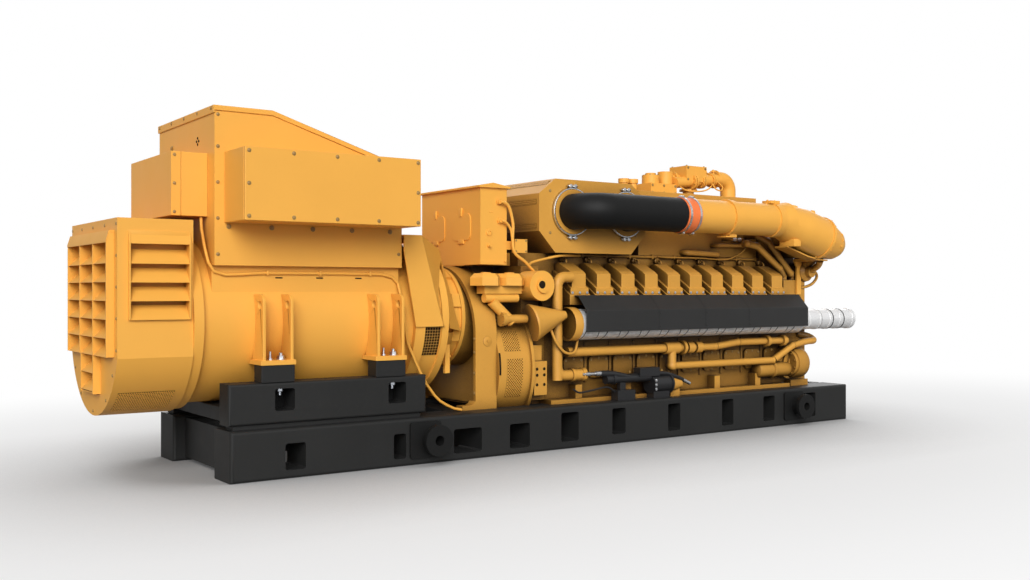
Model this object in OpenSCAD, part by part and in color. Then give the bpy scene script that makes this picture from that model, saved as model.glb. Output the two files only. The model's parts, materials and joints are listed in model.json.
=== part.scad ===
// Stationary engine and alternator set on a twin-rail base, millimetres.
// X runs from the alternator inlet end to the engine front end, Z is up.

/* [Base] */
// length of the two base rails
rail_l = 6413; // [5600:1:7200]
// height of a base rail
rail_h = 350; // [300:1:400]
// width of a base rail
rail_w = 328; // [280:1:340]
// half width over the base rails
base_y = 763; // [720:1:800]
// corner rounding of the rails
rail_r = 24; // [10:1:40]
// height of the packing strip under a riser rail
pack_h = 30; // [15:1:50]
// length of the riser rails under the alternator
riser_l = 1532; // [1420:1:1600]
// height of a riser rail
riser_h = 285; // [240:1:320]
// width of a riser rail
riser_w = 188; // [150:1:220]
// half width over the riser rails
riser_y = 725; // [690:1:750]
// height of the blocks under the alternator feet
block_h = 119; // [80:1:150]
// width of a lifting post collar
lug_r = 116; // [90:1:130]
// bore radius of a lifting post
lug_bore_r = 38; // [25:1:60]
// reach of a lifting post from the rail side
lug_reach = 128; // [80:1:180]

/* [Alternator] */
// height of the alternator axis over its foot plane
axis_rise = 295; // [270:1:320]
// radius of the alternator barrel
barrel_r = 586; // [560:1:600]
// radius of the end rings of the barrel
ring_r = 626; // [606:1:640]
// end of the barrel at the inlet side
barrel_x0 = -128; // [-160:1:-100]
// end of the barrel at the drive side
barrel_x1 = 1500; // [1440:1:1560]
// thickness of the foot plates
foot_t = 33; // [20:1:45]
// thickness of the foot gussets
gusset_t = 22; // [12:1:30]
// height of the foot gussets
gusset_h = 454; // [380:1:480]
// length of the inlet hood
hood_l = 494; // [420:1:540]
// half width of the inlet hood
hood_y = 600; // [560:1:605]
// top of the inlet hood over the alternator axis
hood_up = 689; // [650:1:720]
// depth of the end grille in front of the hood
grille_d = 50; // [30:1:70]
// pitch of the louvre rows
louver_p = 122; // [100:1:130]

/* [Terminal box] */
// half width of the terminal box
tbox_y = 605; // [580:1:640]
// length of the terminal box
tbox_l = 1443; // [1380:1:1500]
// height of the tall end of the terminal box without its lid
tbox_h = 1051; // [980:1:1100]
// height of the low end of the terminal box without its lid
tbox_low = 729; // [660:1:780]
// length of the level part of the terminal box top
tbox_flat = 414; // [350:1:480]
// thickness of the terminal box lid
lid_t = 35; // [20:1:50]
// depth of a side cover box
side_d = 378; // [300:1:420]
// length of a side cover box
side_l = 1320; // [1200:1:1360]
// height of a side cover box
side_h = 483; // [420:1:520]
// length of the small end box
end_d = 251; // [200:1:290]

/* [Engine] */
// start of the flywheel housing
house_x = 2080; // [2040:1:2100]
// width of the flywheel housing
house_l = 201; // [160:1:240]
// half width of the flywheel housing
house_y = 560; // [520:1:590]
// radius of the coupling guard
guard_r = 600; // [570:1:620]
// start of the first cylinder
bank_x = 3013; // [2990:1:3040]
// distance between cylinders
cyl_p = 275; // [260:1:285]
// cylinders in one bank
cyl_n = 10; // [8:1:10]
// width of a valve cover base
head_w = 194; // [170:1:230]
// half width of the engine block
block_y = 484; // [460:1:500]
// radius of the lagged exhaust manifold
lag_r = 130; // [110:1:131]
// radius of the exhaust outlet
outlet_r = 98; // [70:1:100]
// radius of the intake pipe
duct_r = 152; // [130:1:170]
// distance of the intake pipe from the middle
duct_y = 750; // [720:1:780]
// width of the control box
ctrl_w = 930; // [860:1:980]
// half length of the air cleaner across the engine
clean_y = 500; // [460:1:540]
// wall of the exhaust outlet pipe
outlet_t = 8; // [5:1:14]

/* [Hidden] */
$fn = 64;
x_mid = 2935;
riser_top = rail_h + pack_h + riser_h;
foot_z = riser_top + block_h;
az = foot_z + axis_rise;
deck_z = az + 387;
hood_x1 = barrel_x0 - 68;
hood_x0 = hood_x1 - hood_l;
grille_x = hood_x0 - grille_d;
tbox_x0 = -53;
tbox_x1 = tbox_x0 + tbox_l;
top_flat_x = tbox_x0 + tbox_flat;
top_z = deck_z + tbox_h;
low_z = deck_z + tbox_low;
fall = (top_z - low_z) / (tbox_x1 - top_flat_x);
inner_y = base_y - rail_w;
e0 = rail_h;
house_x1 = house_x + house_l;
bank_x1 = bank_x + (cyl_n - 1) * cyl_p + head_w;
lag_y = block_y + lag_r + 0.3;
lag_z = e0 + 660;
duct_z = e0 + 1614;
hose_x0 = 4085;
hose_x1 = 4250;
nose_x = 5359;
pan_x1 = rail_l - 671;
yellow = [0.93, 0.66, 0.20];
dark = [0.16, 0.17, 0.18];
steel = [0.72, 0.73, 0.74];

// box between two corners
module box(x0, x1, y0, y1, z0, z1) {
    translate([x0, y0, z0]) cube([x1 - x0, y1 - y0, z1 - z0]);
}

// round bar along X
module xcyl(x0, x1, y, z, r) {
    translate([x0, y, z]) rotate([0, 90, 0]) cylinder(h = x1 - x0, r = r);
}

// cone along X
module xcone(x0, x1, y, z, ra, rb) {
    translate([x0, y, z]) rotate([0, 90, 0]) cylinder(h = x1 - x0, r1 = ra, r2 = rb);
}

// round bar along Y
module ycyl(y0, y1, x, z, r) {
    translate([x, y0, z]) rotate([-90, 0, 0]) cylinder(h = y1 - y0, r = r);
}

// round bar along Z
module zcyl(z0, z1, x, y, r) {
    translate([x, y, z0]) cylinder(h = z1 - z0, r = r);
}

// flat shape in Y and Z drawn along X
module along_x(x0, x1) {
    translate([x0, 0, 0]) rotate([90, 0, 90]) linear_extrude(height = x1 - x0) children();
}

// flat shape in X and Z drawn along Y
module along_y(y0, y1) {
    translate([0, y1, 0]) rotate([90, 0, 0]) linear_extrude(height = y1 - y0) children();
}

// rectangle with rounded corners
module soft_rect(x0, x1, y0, y1, r) {
    translate([x0 + r, y0]) square([x1 - x0 - 2 * r, y1 - y0]);
    translate([x0, y0 + r]) square([x1 - x0, y1 - y0 - 2 * r]);
    for (x = [x0 + r, x1 - r])
        for (y = [y0 + r, y1 - r])
            translate([x, y]) circle(r = r);
}

// both sides of the middle plane
module both() {
    children();
    mirror([0, 1, 0]) children();
}

// origin moved to the middle of the length
module place() {
    translate([-x_mid, 0, 0]) children();
}

function unit(v) = v / norm(v);

// straight length of pipe between two points
module straight(a, b, r) {
    d = b - a;
    up = unit(d);
    help = abs(up[2]) > 0.9 ? [1, 0, 0] : [0, 0, 1];
    px = unit(cross(help, up));
    py = cross(up, px);
    multmatrix([
        [px[0], py[0], up[0], a[0]],
        [px[1], py[1], up[1], a[1]],
        [px[2], py[2], up[2], a[2]],
        [0, 0, 0, 1]
    ]) cylinder(h = norm(d), r = r);
}

// round bend of pipe at a corner point
module bend(a, p, c, r, b) {
    u1 = unit(p - a);
    u2 = unit(c - p);
    turn = acos(u1 * u2);
    n = unit(u2 - u1 * (u1 * u2));
    s = p - u1 * b * tan(turn / 2);
    o = s + n * b;
    z = cross(-n, u1);
    multmatrix([
        [-n[0], u1[0], z[0], o[0]],
        [-n[1], u1[1], z[1], o[1]],
        [-n[2], u1[2], z[2], o[2]],
        [0, 0, 0, 1]
    ]) rotate_extrude(angle = turn) translate([b, 0]) circle(r = r);
}

function cut(a, p, c, b) = b * tan(acos(unit(p - a) * unit(c - p)) / 2);

// pipe through a row of points with round bends
module pipe_run(p, r, b) {
    last = len(p) - 1;
    for (i = [0 : last - 1]) {
        d = unit(p[i + 1] - p[i]);
        s0 = i == 0 ? 0 : cut(p[i - 1], p[i], p[i + 1], b);
        s1 = i == last - 1 ? 0 : cut(p[i], p[i + 1], p[i + 2], b);
        straight(p[i] + d * s0, p[i + 1] - d * s1, r);
    }
    for (i = [1 : 1 : last - 1])
        bend(p[i - 1], p[i], p[i + 1], r, b);
}

// pipe through a row of points with ball joints at the corners
module knee_run(p, r) {
    last = len(p) - 1;
    for (i = [0 : last - 1])
        straight(p[i], p[i + 1], r);
    for (i = [1 : 1 : last - 1])
        translate(p[i]) sphere(r = r + 4);
}

// windows of a base rail, start and end along the length, low and high edge
win = [
    [390, 541, 59, 243], [1235, 1338, 58, 242], [1752, 2006, 55, 240], [2270, 2465, 50, 242],
    [2781, 2962, 61, 298], [3324, 3472, 80, 299], [3963, 4110, 62, 299], [4632, 4781, 60, 299],
    [5184, 5340, 62, 297], [5749, 5930, 61, 296]
];

// windows of a riser rail
riser_win = [[330, 477], [1211, 1358]];

module base_rail() {
    color(dark) difference() {
        intersection() {
            along_x(0, rail_l) soft_rect(-base_y, -inner_y, 0, rail_h, rail_r);
            translate([0, 0, -1]) linear_extrude(height = rail_h + 2)
                soft_rect(0, rail_l, -base_y, -inner_y, rail_r);
        }
        for (w = win)
            along_y(-base_y - 1, -inner_y + 1) soft_rect(w[0], w[1], w[2], w[3], 18);
    }
}

module base_rail_near() {
    place() base_rail();
}

module base_rail_far() {
    place() mirror([0, 1, 0]) base_rail();
}

module base_cross_members() {
    place() color(dark) {
        box(90, 210, -inner_y, inner_y, 30, rail_h - 20);
        box(1590, 1730, -inner_y, inner_y, 30, rail_h - 20);
        box(2050, 2250, -inner_y, inner_y, 30, rail_h - 40);
        box(rail_l - 233, rail_l - 143, -inner_y, inner_y, 30, rail_h - 20);
        box(rail_l - 130, rail_l - 30, -inner_y, inner_y, 0, rail_h);
        box(60, 160, -riser_y + riser_w, riser_y - riser_w, rail_h + pack_h + 5, rail_h + pack_h + 105);
    }
}

module riser_rail() {
    z0 = rail_h + pack_h;
    color(dark) {
        difference() {
            intersection() {
                along_x(0, riser_l) soft_rect(-riser_y, -riser_y + riser_w, z0, riser_top, 20);
                translate([0, 0, z0 - 1]) linear_extrude(height = riser_h + 2)
                    soft_rect(0, riser_l, -riser_y, -riser_y + riser_w, 20);
            }
            for (w = riser_win)
                along_y(-riser_y - 1, -riser_y + riser_w + 1)
                    soft_rect(w[0], w[1], z0 + 86, z0 + 240, 20);
        }
        box(40, riser_l - 40, -riser_y + 25, -riser_y + riser_w - 25, rail_h, z0);
    }
}

module riser_rail_near() {
    place() riser_rail();
}

module riser_rail_far() {
    place() mirror([0, 1, 0]) riser_rail();
}

module lifting_posts() {
    place() color(dark) both()
        for (x = [1550, 5650])
            difference() {
                union() {
                    ycyl(-base_y - lug_reach, -base_y - lug_reach + 34, x, 185, lug_r);
                    ycyl(-base_y - lug_reach + 34, -base_y - 18, x, 185, lug_r - 30);
                    along_y(-base_y - 18, -base_y) soft_rect(x - 185, x + 80, 50, 320, 24);
                }
                ycyl(-base_y - lug_reach - 1, -base_y - 10, x, 185, lug_bore_r);
            }
}

foot_x = [232, 1110];
foot_l = 244;

module alternator_blocks() {
    place() color(dark) both()
        for (x = foot_x)
            box(x, x + foot_l, -riser_y, -riser_y + 135, riser_top, foot_z);
}

module gusset(x) {
    y1 = riser_y + 3;
    z1 = foot_z + foot_t + gusset_h;
    difference() {
        along_x(x, x + gusset_t) union() {
            translate([-y1, foot_z + foot_t]) square([y1 - 540, gusset_h - 60]);
            translate([-y1 + 60, foot_z + foot_t]) square([y1 - 600, gusset_h]);
            translate([-y1 + 60, z1 - 60]) circle(r = 60);
        }
        xcyl(x - 1, x + gusset_t + 1, -y1 + 62, z1 - 74, 27);
    }
}

module alternator_feet() {
    place() color(yellow) both() difference() {
        for (x = foot_x) {
            box(x - 7, x + foot_l + 7, -riser_y - 10, -480, foot_z, foot_z + foot_t);
            gusset(x + 10);
            gusset(x + foot_l - 10 - gusset_t);
        }
        xcyl(0, 1400, 0, az, barrel_r);
    }
}

module alternator_frame() {
    place() color(yellow) {
        difference() {
            union() {
                xcyl(barrel_x0, barrel_x1, 0, az, barrel_r);
                box(tbox_x0, tbox_x1, -548, 548, az + 150, deck_z);
            }
            box(tbox_x0, tbox_x1, -700, 700, deck_z, deck_z + 400);
        }
        xcyl(hood_x1, barrel_x0, 0, az, ring_r);
        xcyl(barrel_x1, barrel_x1 + 85, 0, az, ring_r);
        xcyl(barrel_x1 + 85, barrel_x1 + 240, 0, az, ring_r - 26);
        xcyl(barrel_x1 + 240, barrel_x1 + 300, 0, az, ring_r - 10);
    }
}

module hood_shape(s) {
    intersection() {
        union() {
            translate([0, az]) circle(r = 640 - s);
            translate([-hood_y + s, az]) square([2 * hood_y - 2 * s, hood_up - s]);
        }
        translate([-hood_y + s, az - 700]) square([2 * hood_y - 2 * s, 700 + hood_up - s]);
    }
}

grille_z1 = az + 607;
grille_z0 = az - 216;
grille_low = az - 479;
side_z1 = az + 604;
side_z0 = az + 26;

module inlet_hood() {
    place() color(yellow) difference() {
        along_x(hood_x0, hood_x1) hood_shape(0);
        box(hood_x0 - 1, hood_x0 + 110, -520, 520, grille_z0, grille_z1);
        box(hood_x0 - 1, hood_x0 + 110, -190, 145, grille_low, grille_z0 + 1);
        both() box(hood_x0 + 67, hood_x1 - 21, -hood_y - 1, -hood_y + 90, side_z0, side_z1);
    }
}

module blade_x(y0, y1, z) {
    along_y(y0, y1) polygon([
        [grille_x, z], [grille_x + 9, z], [hood_x0 + 60, z + 92], [hood_x0 + 51, z + 92]
    ]);
}

module end_grille() {
    place() color(yellow) {
        for (i = [0 : 5])
            blade_x(-520, 520, grille_z0 + i * louver_p);
        for (i = [1 : 2])
            blade_x(-190, 145, grille_z0 - i * louver_p);
        for (y = [-520, -182, 168, 508])
            along_y(y, y + 12) polygon([
                [grille_x, grille_z0], [hood_x0 + 60, grille_z0], [hood_x0 + 60, grille_z1],
                [grille_x + 20, grille_z1], [grille_x, grille_z1 - 60]
            ]);
        for (y = [-190, 133])
            box(grille_x, hood_x0 + 60, y, y + 12, grille_low, grille_z0 + 20);
        along_y(-520, 520) polygon([
            [grille_x, grille_z1 - 66], [grille_x + 9, grille_z1 - 66],
            [hood_x0 + 60, grille_z1 - 12], [hood_x0 + 60, grille_z1], [grille_x + 9, grille_z1 - 45]
        ]);
        box(grille_x + 10, hood_x0 + 60, -190, 145, grille_low, grille_low + 12);
    }
}

module side_louver() {
    x0 = hood_x0 + 67;
    x1 = hood_x1 - 21;
    yo = -hood_y - 25;
    for (i = [0 : 3])
        along_x(x0, x1) polygon([
            [yo, side_z0 + i * louver_p], [yo + 8, side_z0 + i * louver_p],
            [-hood_y + 58, side_z0 + 96 + i * louver_p], [-hood_y + 50, side_z0 + 96 + i * louver_p]
        ]);
    for (x = [x0, x1 - 12])
        along_x(x, x + 12) polygon([
            [yo, side_z0], [-hood_y + 58, side_z0], [-hood_y + 58, side_z1],
            [yo + 20, side_z1], [yo, side_z1 - 70]
        ]);
    along_x(x0, x1) polygon([
        [yo, side_z1 - 82], [yo + 8, side_z1 - 82], [-hood_y + 58, side_z1 - 12],
        [-hood_y + 58, side_z1], [yo + 20, side_z1 - 20]
    ]);
}

module side_louvers() {
    place() color(yellow) both() side_louver();
}

module terminal_box() {
    place() color(yellow) along_y(-tbox_y, tbox_y) polygon([
        [tbox_x0, deck_z], [tbox_x1, deck_z], [tbox_x1, low_z], [top_flat_x, top_z], [tbox_x0, top_z]
    ]);
}

module terminal_box_lid() {
    place() color(yellow) difference() {
        along_y(-tbox_y - 9, tbox_y + 9) polygon([
            [tbox_x0 - 9, top_z - 19], [tbox_x0, top_z - 19], [tbox_x0, top_z], [top_flat_x, top_z],
            [tbox_x1 + 9, low_z - 9 * fall],
            [tbox_x1 + 9, low_z + lid_t - 9 * fall], [top_flat_x, top_z + lid_t],
            [tbox_x0 - 9, top_z + lid_t]
        ]);
        both() box(side_x, side_x + side_l, -tbox_y - 20, -tbox_y, side_z, side_z + side_h);
    }
}

side_z = deck_z + 291;
side_x = 15;

module side_cover() {
    z0 = side_z;
    x0 = side_x;
    difference() {
        box(x0, x0 + side_l, -tbox_y - side_d, -tbox_y, z0, z0 + side_h);
        difference() {
            translate([0, -tbox_y - side_d, 0]) box(x0 - 1, x0 + side_l + 1, 24, 28, z0 - 1, z0 + side_h + 1);
            box(x0 + 4, x0 + side_l - 4, -tbox_y - side_d, -tbox_y, z0 + 4, z0 + side_h - 4);
        }
    }
}

module side_cover_near() {
    place() color(yellow) side_cover();
}

module side_cover_far() {
    place() color(yellow) mirror([0, 1, 0]) side_cover();
}

module end_box() {
    z0 = deck_z + 337;
    place() color(yellow) difference() {
        box(tbox_x0 - end_d, tbox_x0, -470, 470, z0, z0 + 435);
        difference() {
            box(tbox_x0 - end_d + 65, tbox_x0 - end_d + 69, -471, 471, z0 - 1, z0 + 436);
            box(tbox_x0 - end_d + 60, tbox_x0 - end_d + 72, -466, 466, z0 + 4, z0 + 431);
        }
    }
}

// hood body over the drive end, pulled in by a wall thickness
module scoop(t) {
    zt = az + 637 - t;
    zc = az + 545 - t;
    zb = az - 58 - 3 * t;
    yw = 640 - t;
    yc = 420 - 0.6 * t;
    b = 3 * t;
    polyhedron(
        points = [
            [1369, -yw, zt], [1538 - t, -yw, zt], [1822 - t, -yc, zc], [1822 - t, yc, zc],
            [1538 - t, yw, zt], [1369, yw, zt],
            [1492, -yw, zb], [1732 - t + b * 0.28, -yw, zb], [2027 - t + b * 0.3, -yc, zb - 50],
            [2027 - t + b * 0.3, yc, zb - 50], [1732 - t + b * 0.28, yw, zb], [1492, yw, zb]
        ],
        faces = [
            [1, 0, 5], [1, 5, 4], [1, 4, 2], [2, 4, 3],
            [6, 7, 11], [7, 10, 11], [7, 8, 10], [8, 9, 10],
            [0, 1, 7], [0, 7, 6], [1, 2, 8], [1, 8, 7], [2, 3, 9], [2, 9, 8],
            [3, 4, 10], [3, 10, 9], [4, 5, 11], [4, 11, 10], [5, 0, 6], [5, 6, 11]
        ]
    );
}

module outlet_hood() {
    place() color(yellow) difference() {
        scoop(0);
        scoop(13.7);
        box(1200, 1480, -627, 627, az - 200, az + 624);
        box(1200, tbox_x1 + 0.3, -700, 700, deck_z, az + 700);
        xcyl(1300, 1840, 0, az, ring_r + 0.3);
        xcyl(1700, 2200, 0, az, 430);
    }
}

module drive_end_bracket() {
    place() color(yellow) {
        xcyl(barrel_x1 + 300, house_x - 30, 0, az, 390);
        xcyl(house_x - 30, house_x, 0, az, 410);
        for (a = [-60, -20, 20, 60, 120, 160, 200, 240])
            translate([0, 0, az]) rotate([a, 0, 0]) box(1975, 2045, -408, -380, -55, 55);
        both() box(1853, 1895, -470, -440, az - 435, az - 209);
        intersection() {
            xcone(barrel_x1 + 300, 1990, 0, az, 590, 392);
            box(1700, 2200, -700, 700, 0, az - 116);
        }
    }
}

module arch(y, h) {
    translate([-y, e0 + 25]) square([2 * y, h - e0 - 25]);
    translate([0, h]) circle(r = y);
}

module flywheel_housing() {
    arch_z = e0 + 590;
    place() color(yellow) difference() {
        union() {
            along_x(house_x, house_x1) arch(house_y, arch_z);
            both() along_y(-house_y, -house_y + 90) polygon([
                [house_x - 123, e0], [house_x1, e0], [house_x1, e0 + 70], [house_x, e0 + 70],
                [house_x - 18, e0 + 44], [house_x - 44, e0 + 34], [house_x - 123, e0 + 34]
            ]);
        }
        along_x(house_x - 1, house_x1 - 40) difference() {
            arch(house_y - 34, arch_z);
            translate([0, az]) circle(r = 410);
        }
        box(house_x - 200, house_x1 - 40, -house_y + 90, house_y - 90, e0 - 1, e0 + 100);
    }
}

module coupling_guard() {
    place() color(yellow) intersection() {
        union() {
            xcyl(house_x1, 2592, 0, e0 + 310, guard_r);
            xcyl(2592, 2620, 0, e0 + 310, guard_r + 22);
        }
        box(house_x1, 2700, -700, 700, e0, e0 + 700);
    }
}

module rear_housing() {
    place() color(yellow) {
        box(2620, bank_x - 213, -500, 500, e0 + 35, e0 + 760);
        both() {
            box(2620, 2723, -572, -500, e0 + 366, e0 + 495);
            box(2633, 2764, -590, -500, e0 + 84, e0 + 364);
        }
        box(2620, bank_x - 213, -420, 420, e0 + 760, e0 + 1150);
    }
}

module engine_block() {
    place() color(yellow) {
        along_x(bank_x - 213, bank_x1 + 120) polygon([
            [-block_y, e0 + 35], [block_y, e0 + 35], [block_y, e0 + 815], [350, e0 + 1050],
            [-350, e0 + 1050], [-block_y, e0 + 815]
        ]);
        both()
            for (i = [0 : cyl_n - 1])
                translate([bank_x + i * cyl_p, 0, e0])
                    box(222, 246, -block_y - 14, -block_y + 1, 160, 500);
    }
}

module oil_pan() {
    place() color(yellow) along_x(bank_x - 300, pan_x1) polygon([
        [-430, e0 + 35], [430, e0 + 35], [430, e0 - 20], [380, e0 - 230], [-380, e0 - 230], [-430, e0 - 20]
    ]);
}

start_x = 4078;

module engine_feet() {
    place() color(yellow) both() {
        box(bank_x - 213, bank_x1 + 60, -600, -440, e0, e0 + 35);
        for (i = [0 : 2 : 8])
            box(bank_x + 60 + i * cyl_p, bank_x + 130 + i * cyl_p, -580, -block_y, e0 + 35, e0 + 150);
        xcone(start_x, start_x + 142, -640, e0 + 110, 72, 40);
        box(start_x + 12, start_x + 122, -660, -590, e0, e0 + 70);
    }
}

module crankcase_doors() {
    place() color(yellow) both()
        for (i = [0 : cyl_n - 1])
            along_y(-block_y - 22, -block_y)
                soft_rect(bank_x - 10 + i * cyl_p, bank_x + 204 + i * cyl_p, e0 + 195, e0 + 380, 40);
}

// height of the sloped head deck at a distance from the middle
function head_top(y) = e0 + 908 + (600 - y) * 0.6185;

module cylinder_heads() {
    place() color(yellow) both()
        for (i = [0 : cyl_n - 1])
            along_x(bank_x - 14 + i * cyl_p, bank_x + head_w + 14 + i * cyl_p) polygon([
                [-600, e0 + 825], [-600, head_top(600)], [-330, head_top(330)], [-330, e0 + 1050],
                [-350, e0 + 1050], [-block_y, e0 + 815]
            ]);
}

module valve_cover(x) {
    along_x(x, x + head_w) polygon([
        [-592, head_top(592)], [-592, head_top(592) + 50], [-336, head_top(336) + 50], [-336, head_top(336)]
    ]);
    along_x(x + 20, x + head_w - 23) polygon([
        [-580, head_top(580) + 40], [-580, e0 + 1087], [-548, e0 + 1112], [-402, e0 + 1185],
        [-348, e0 + 1185], [-348, head_top(348) + 40]
    ]);
}

module valve_covers_near() {
    place() color(yellow)
        for (i = [0 : cyl_n - 1])
            valve_cover(bank_x + i * cyl_p);
}

module valve_covers_far() {
    place() color(yellow) mirror([0, 1, 0])
        for (i = [0 : cyl_n - 1])
            valve_cover(bank_x + i * cyl_p);
}

module exhaust_lagging() {
    place() color(steel) both() difference() {
        xcyl(bank_x - 24, bank_x1 + 120, -lag_y, lag_z, lag_r);
        xcyl(bank_x - 25, bank_x - 4, -lag_y, lag_z, lag_r - 18);
    }
}

module exhaust_outlets() {
    x0 = bank_x1 + 120;
    place() color(steel) both() difference() {
        union() {
            xcyl(x0, 6570, -lag_y, lag_z, outlet_r);
            xcyl(6570, 6610, -lag_y, lag_z, outlet_r + 6);
            for (i = [0 : 3])
                xcyl(x0 + 120 + i * 150, x0 + 138 + i * 150, -lag_y, lag_z, outlet_r + 4);
        }
        xcyl(x0 + 20, 6611, -lag_y, lag_z, outlet_r - outlet_t);
    }
}

module heat_shield() {
    along_x(bank_x + 30, bank_x1 + 134) polygon([
        [-770, e0 + 600], [-770, e0 + 780], [-650, e0 + 907], [-600.3, e0 + 907], [-600.3, e0 + 897],
        [-654, e0 + 897], [-760, e0 + 776], [-760, e0 + 600]
    ]);
}

module heat_shield_near() {
    place() color(dark) heat_shield();
}

module heat_shield_far() {
    place() color(dark) mirror([0, 1, 0]) heat_shield();
}

module valley_housing() {
    place() color(yellow) {
        box(2660, 5560, -320, 320, e0 + 1150, e0 + 1265);
        box(bank_x - 213, 5560, -320, 320, e0 + 1050, e0 + 1150);
        box(4000, 5560, -330, 330, e0 + 1265, e0 + 1860);
    }
}

ctrl_z = e0 + 1157;

module control_box() {
    place() color(yellow) {
        box(2188, 2445, -ctrl_w / 2, ctrl_w / 2, ctrl_z, ctrl_z + 621);
        for (y = [-185, 218])
            along_x(2180, 2188) soft_rect(y - 138, y + 138, ctrl_z + 203, ctrl_z + 421, 50);
        box(2445, 2628, -452, -440, ctrl_z + 125, ctrl_z + 195);
        box(2504, 2628, -500, -452, ctrl_z + 99, ctrl_z + 211);
        box(house_x1 - 90, house_x1, -200, 200, e0 + 590 + house_y, ctrl_z);
        box(2445, 2660, -200, 200, ctrl_z, e0 + 1265);
    }
}

module control_box_lid() {
    place() color(yellow) along_y(-ctrl_w / 2 - 25, ctrl_w / 2 + 25) polygon([
        [2163, ctrl_z + 621], [2470, ctrl_z + 621], [2470, ctrl_z + 636], [2300, ctrl_z + 663],
        [2163, ctrl_z + 636]
    ]);
}

module air_cleaner() {
    place() color(yellow) {
        along_y(-clean_y, clean_y) polygon([
            [2919, e0 + 1265], [3765, e0 + 1265], [3933, e0 + 1444], [3933, e0 + 1759],
            [3765, e0 + 1889], [2919, e0 + 1889], [2751, e0 + 1759], [2751, e0 + 1444]
        ]);
        both()
            for (x = [3090, 3691])
                ycyl(-clean_y - 30, -clean_y, x, duct_z, 190);
    }
}

module intake_pipes() {
    place() color(dark) both() {
        pipe_run([
            [3090, -clean_y - 30, duct_z], [3090, -duct_y, duct_z], [hose_x0, -duct_y, duct_z]
        ], duct_r, 200);
        difference() {
            ycyl(-duct_y, -clean_y - 30, 3691, duct_z, duct_r - 2);
            xcyl(3400, 4000, -duct_y, duct_z, duct_r - 20);
        }
    }
}

module intake_hoses() {
    place() color([0.9, 0.4, 0.15]) both()
        xcyl(hose_x0, hose_x1, -duct_y, duct_z, duct_r + 4);
}

module intake_clamps() {
    place() color(steel) both() {
        for (x = [hose_x0 + 15, hose_x1 - 34])
            difference() {
                xcyl(x, x + 22, -duct_y, duct_z, duct_r + 12);
                xcyl(x - 1, x + 23, -duct_y, duct_z, duct_r + 4);
            }
        for (x = [3090, 3691])
            difference() {
                ycyl(-clean_y - 28, -clean_y - 4, x, duct_z, 203);
                ycyl(-clean_y - 29, -clean_y - 3, x, duct_z, 190);
            }
    }
}

module intake_ducts() {
    place() color(yellow) both() {
        xcyl(hose_x1, nose_x, -duct_y, duct_z, duct_r);
        xcyl(4672, 4696, -duct_y, duct_z, duct_r + 16);
        xcyl(nose_x - 84, nose_x, -duct_y, duct_z, duct_r + 12);
        box(4800, 4900, -duct_y + duct_r - 30, -330, duct_z - 60, duct_z + 60);
    }
}

// prop that carries an intake nose on the side of the front housing
module nose_prop() {
    along_y(-490, -470.3) polygon([
        [5982, e0 + 906], [6043, e0 + 906], [6043, e0 + 1180], [6069, e0 + 1236], [5947, e0 + 1236],
        [5982, e0 + 1180]
    ]);
    box(5947, 6069, -640, -470.3, e0 + 1235, e0 + 1262);
    box(5947, 6069, -640, -604, e0 + 1235, e0 + 1335);
}

module intake_noses() {
    place() color(yellow) both() {
        nose_prop();
        translate([nose_x, -duct_y, duct_z]) {
            xcone(0, 130, 0, 0, duct_r, 176);
            translate([70, 0, 0]) rotate([0, 15.5, 0]) {
                xcone(0, 290, 0, 0, 160, 206);
                xcyl(290, 580, 0, 0, 206);
                xcone(580, 800, 0, 0, 206, 150);
                xcone(800, 860, 0, 0, 150, 112);
                xcyl(560, 590, 0, 0, 216);
            }
        }
    }
}

module turbo_housing() {
    place() color(yellow) {
        box(5600, 6120, -330, 330, e0 + 1050, e0 + 1500);
        both() ycyl(-533.7, -300, 5960, e0 + 1420, 150);
        box(5560, 5600, -320, 320, e0 + 1050, e0 + 1265);
        both() {
            knee_run([
                [5266, -330.3, e0 + 1400], [5266, -480, e0 + 1400], [5411, -480, e0 + 1376],
                [5726, -480, e0 + 1166], [5850, -425, e0 + 1092], [5850, -425, e0 + 1050.3]
            ], 34);
            knee_run([
                [5411, -330.3, e0 + 1480], [5411, -480, e0 + 1480], [5559, -480, e0 + 1428],
                [5890, -480, e0 + 1118], [5965, -420, e0 + 1092], [5965, -420, e0 + 1050.3]
            ], 34);
        }
    }
}

module fuel_train() {
    z = e0 + 1860;
    place() color(yellow) {
        for (x = [4110, 4222]) {
            zcyl(z, z + 100, x, 0, 42);
            zcyl(z + 100, z + 140, x, 0, 52);
        }
        box(4366, 4700, -100, 100, z, z + 110);
        zcyl(z + 190, z + 212, 4450, 0, 50);
        xcyl(4738, 4758, 0, z + 178, 64);
        zcyl(z + 62, z + 82, 4950, 0, 88);
        xcyl(5188, 5208, 0, z + 205, 62);
        zcyl(z + 110, z + 190, 4450, 0, 84);
        zcyl(z + 110, z + 235, 4640, 0, 74);
        xcyl(4640, 4830, 0, z + 178, 40);
        zcyl(z, z + 150, 4950, 0, 55);
        box(4812, 5084, -120, 120, z + 150, z + 300);
        xcyl(5084, 5320, 0, z + 205, 36);
        xcyl(5296, 5316, 0, z + 205, 92);
        pipe_run([[5316, 0, z + 205], [5505, 0, z + 205], [5505, 0, z]], 78, 110);
    }
}

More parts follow.
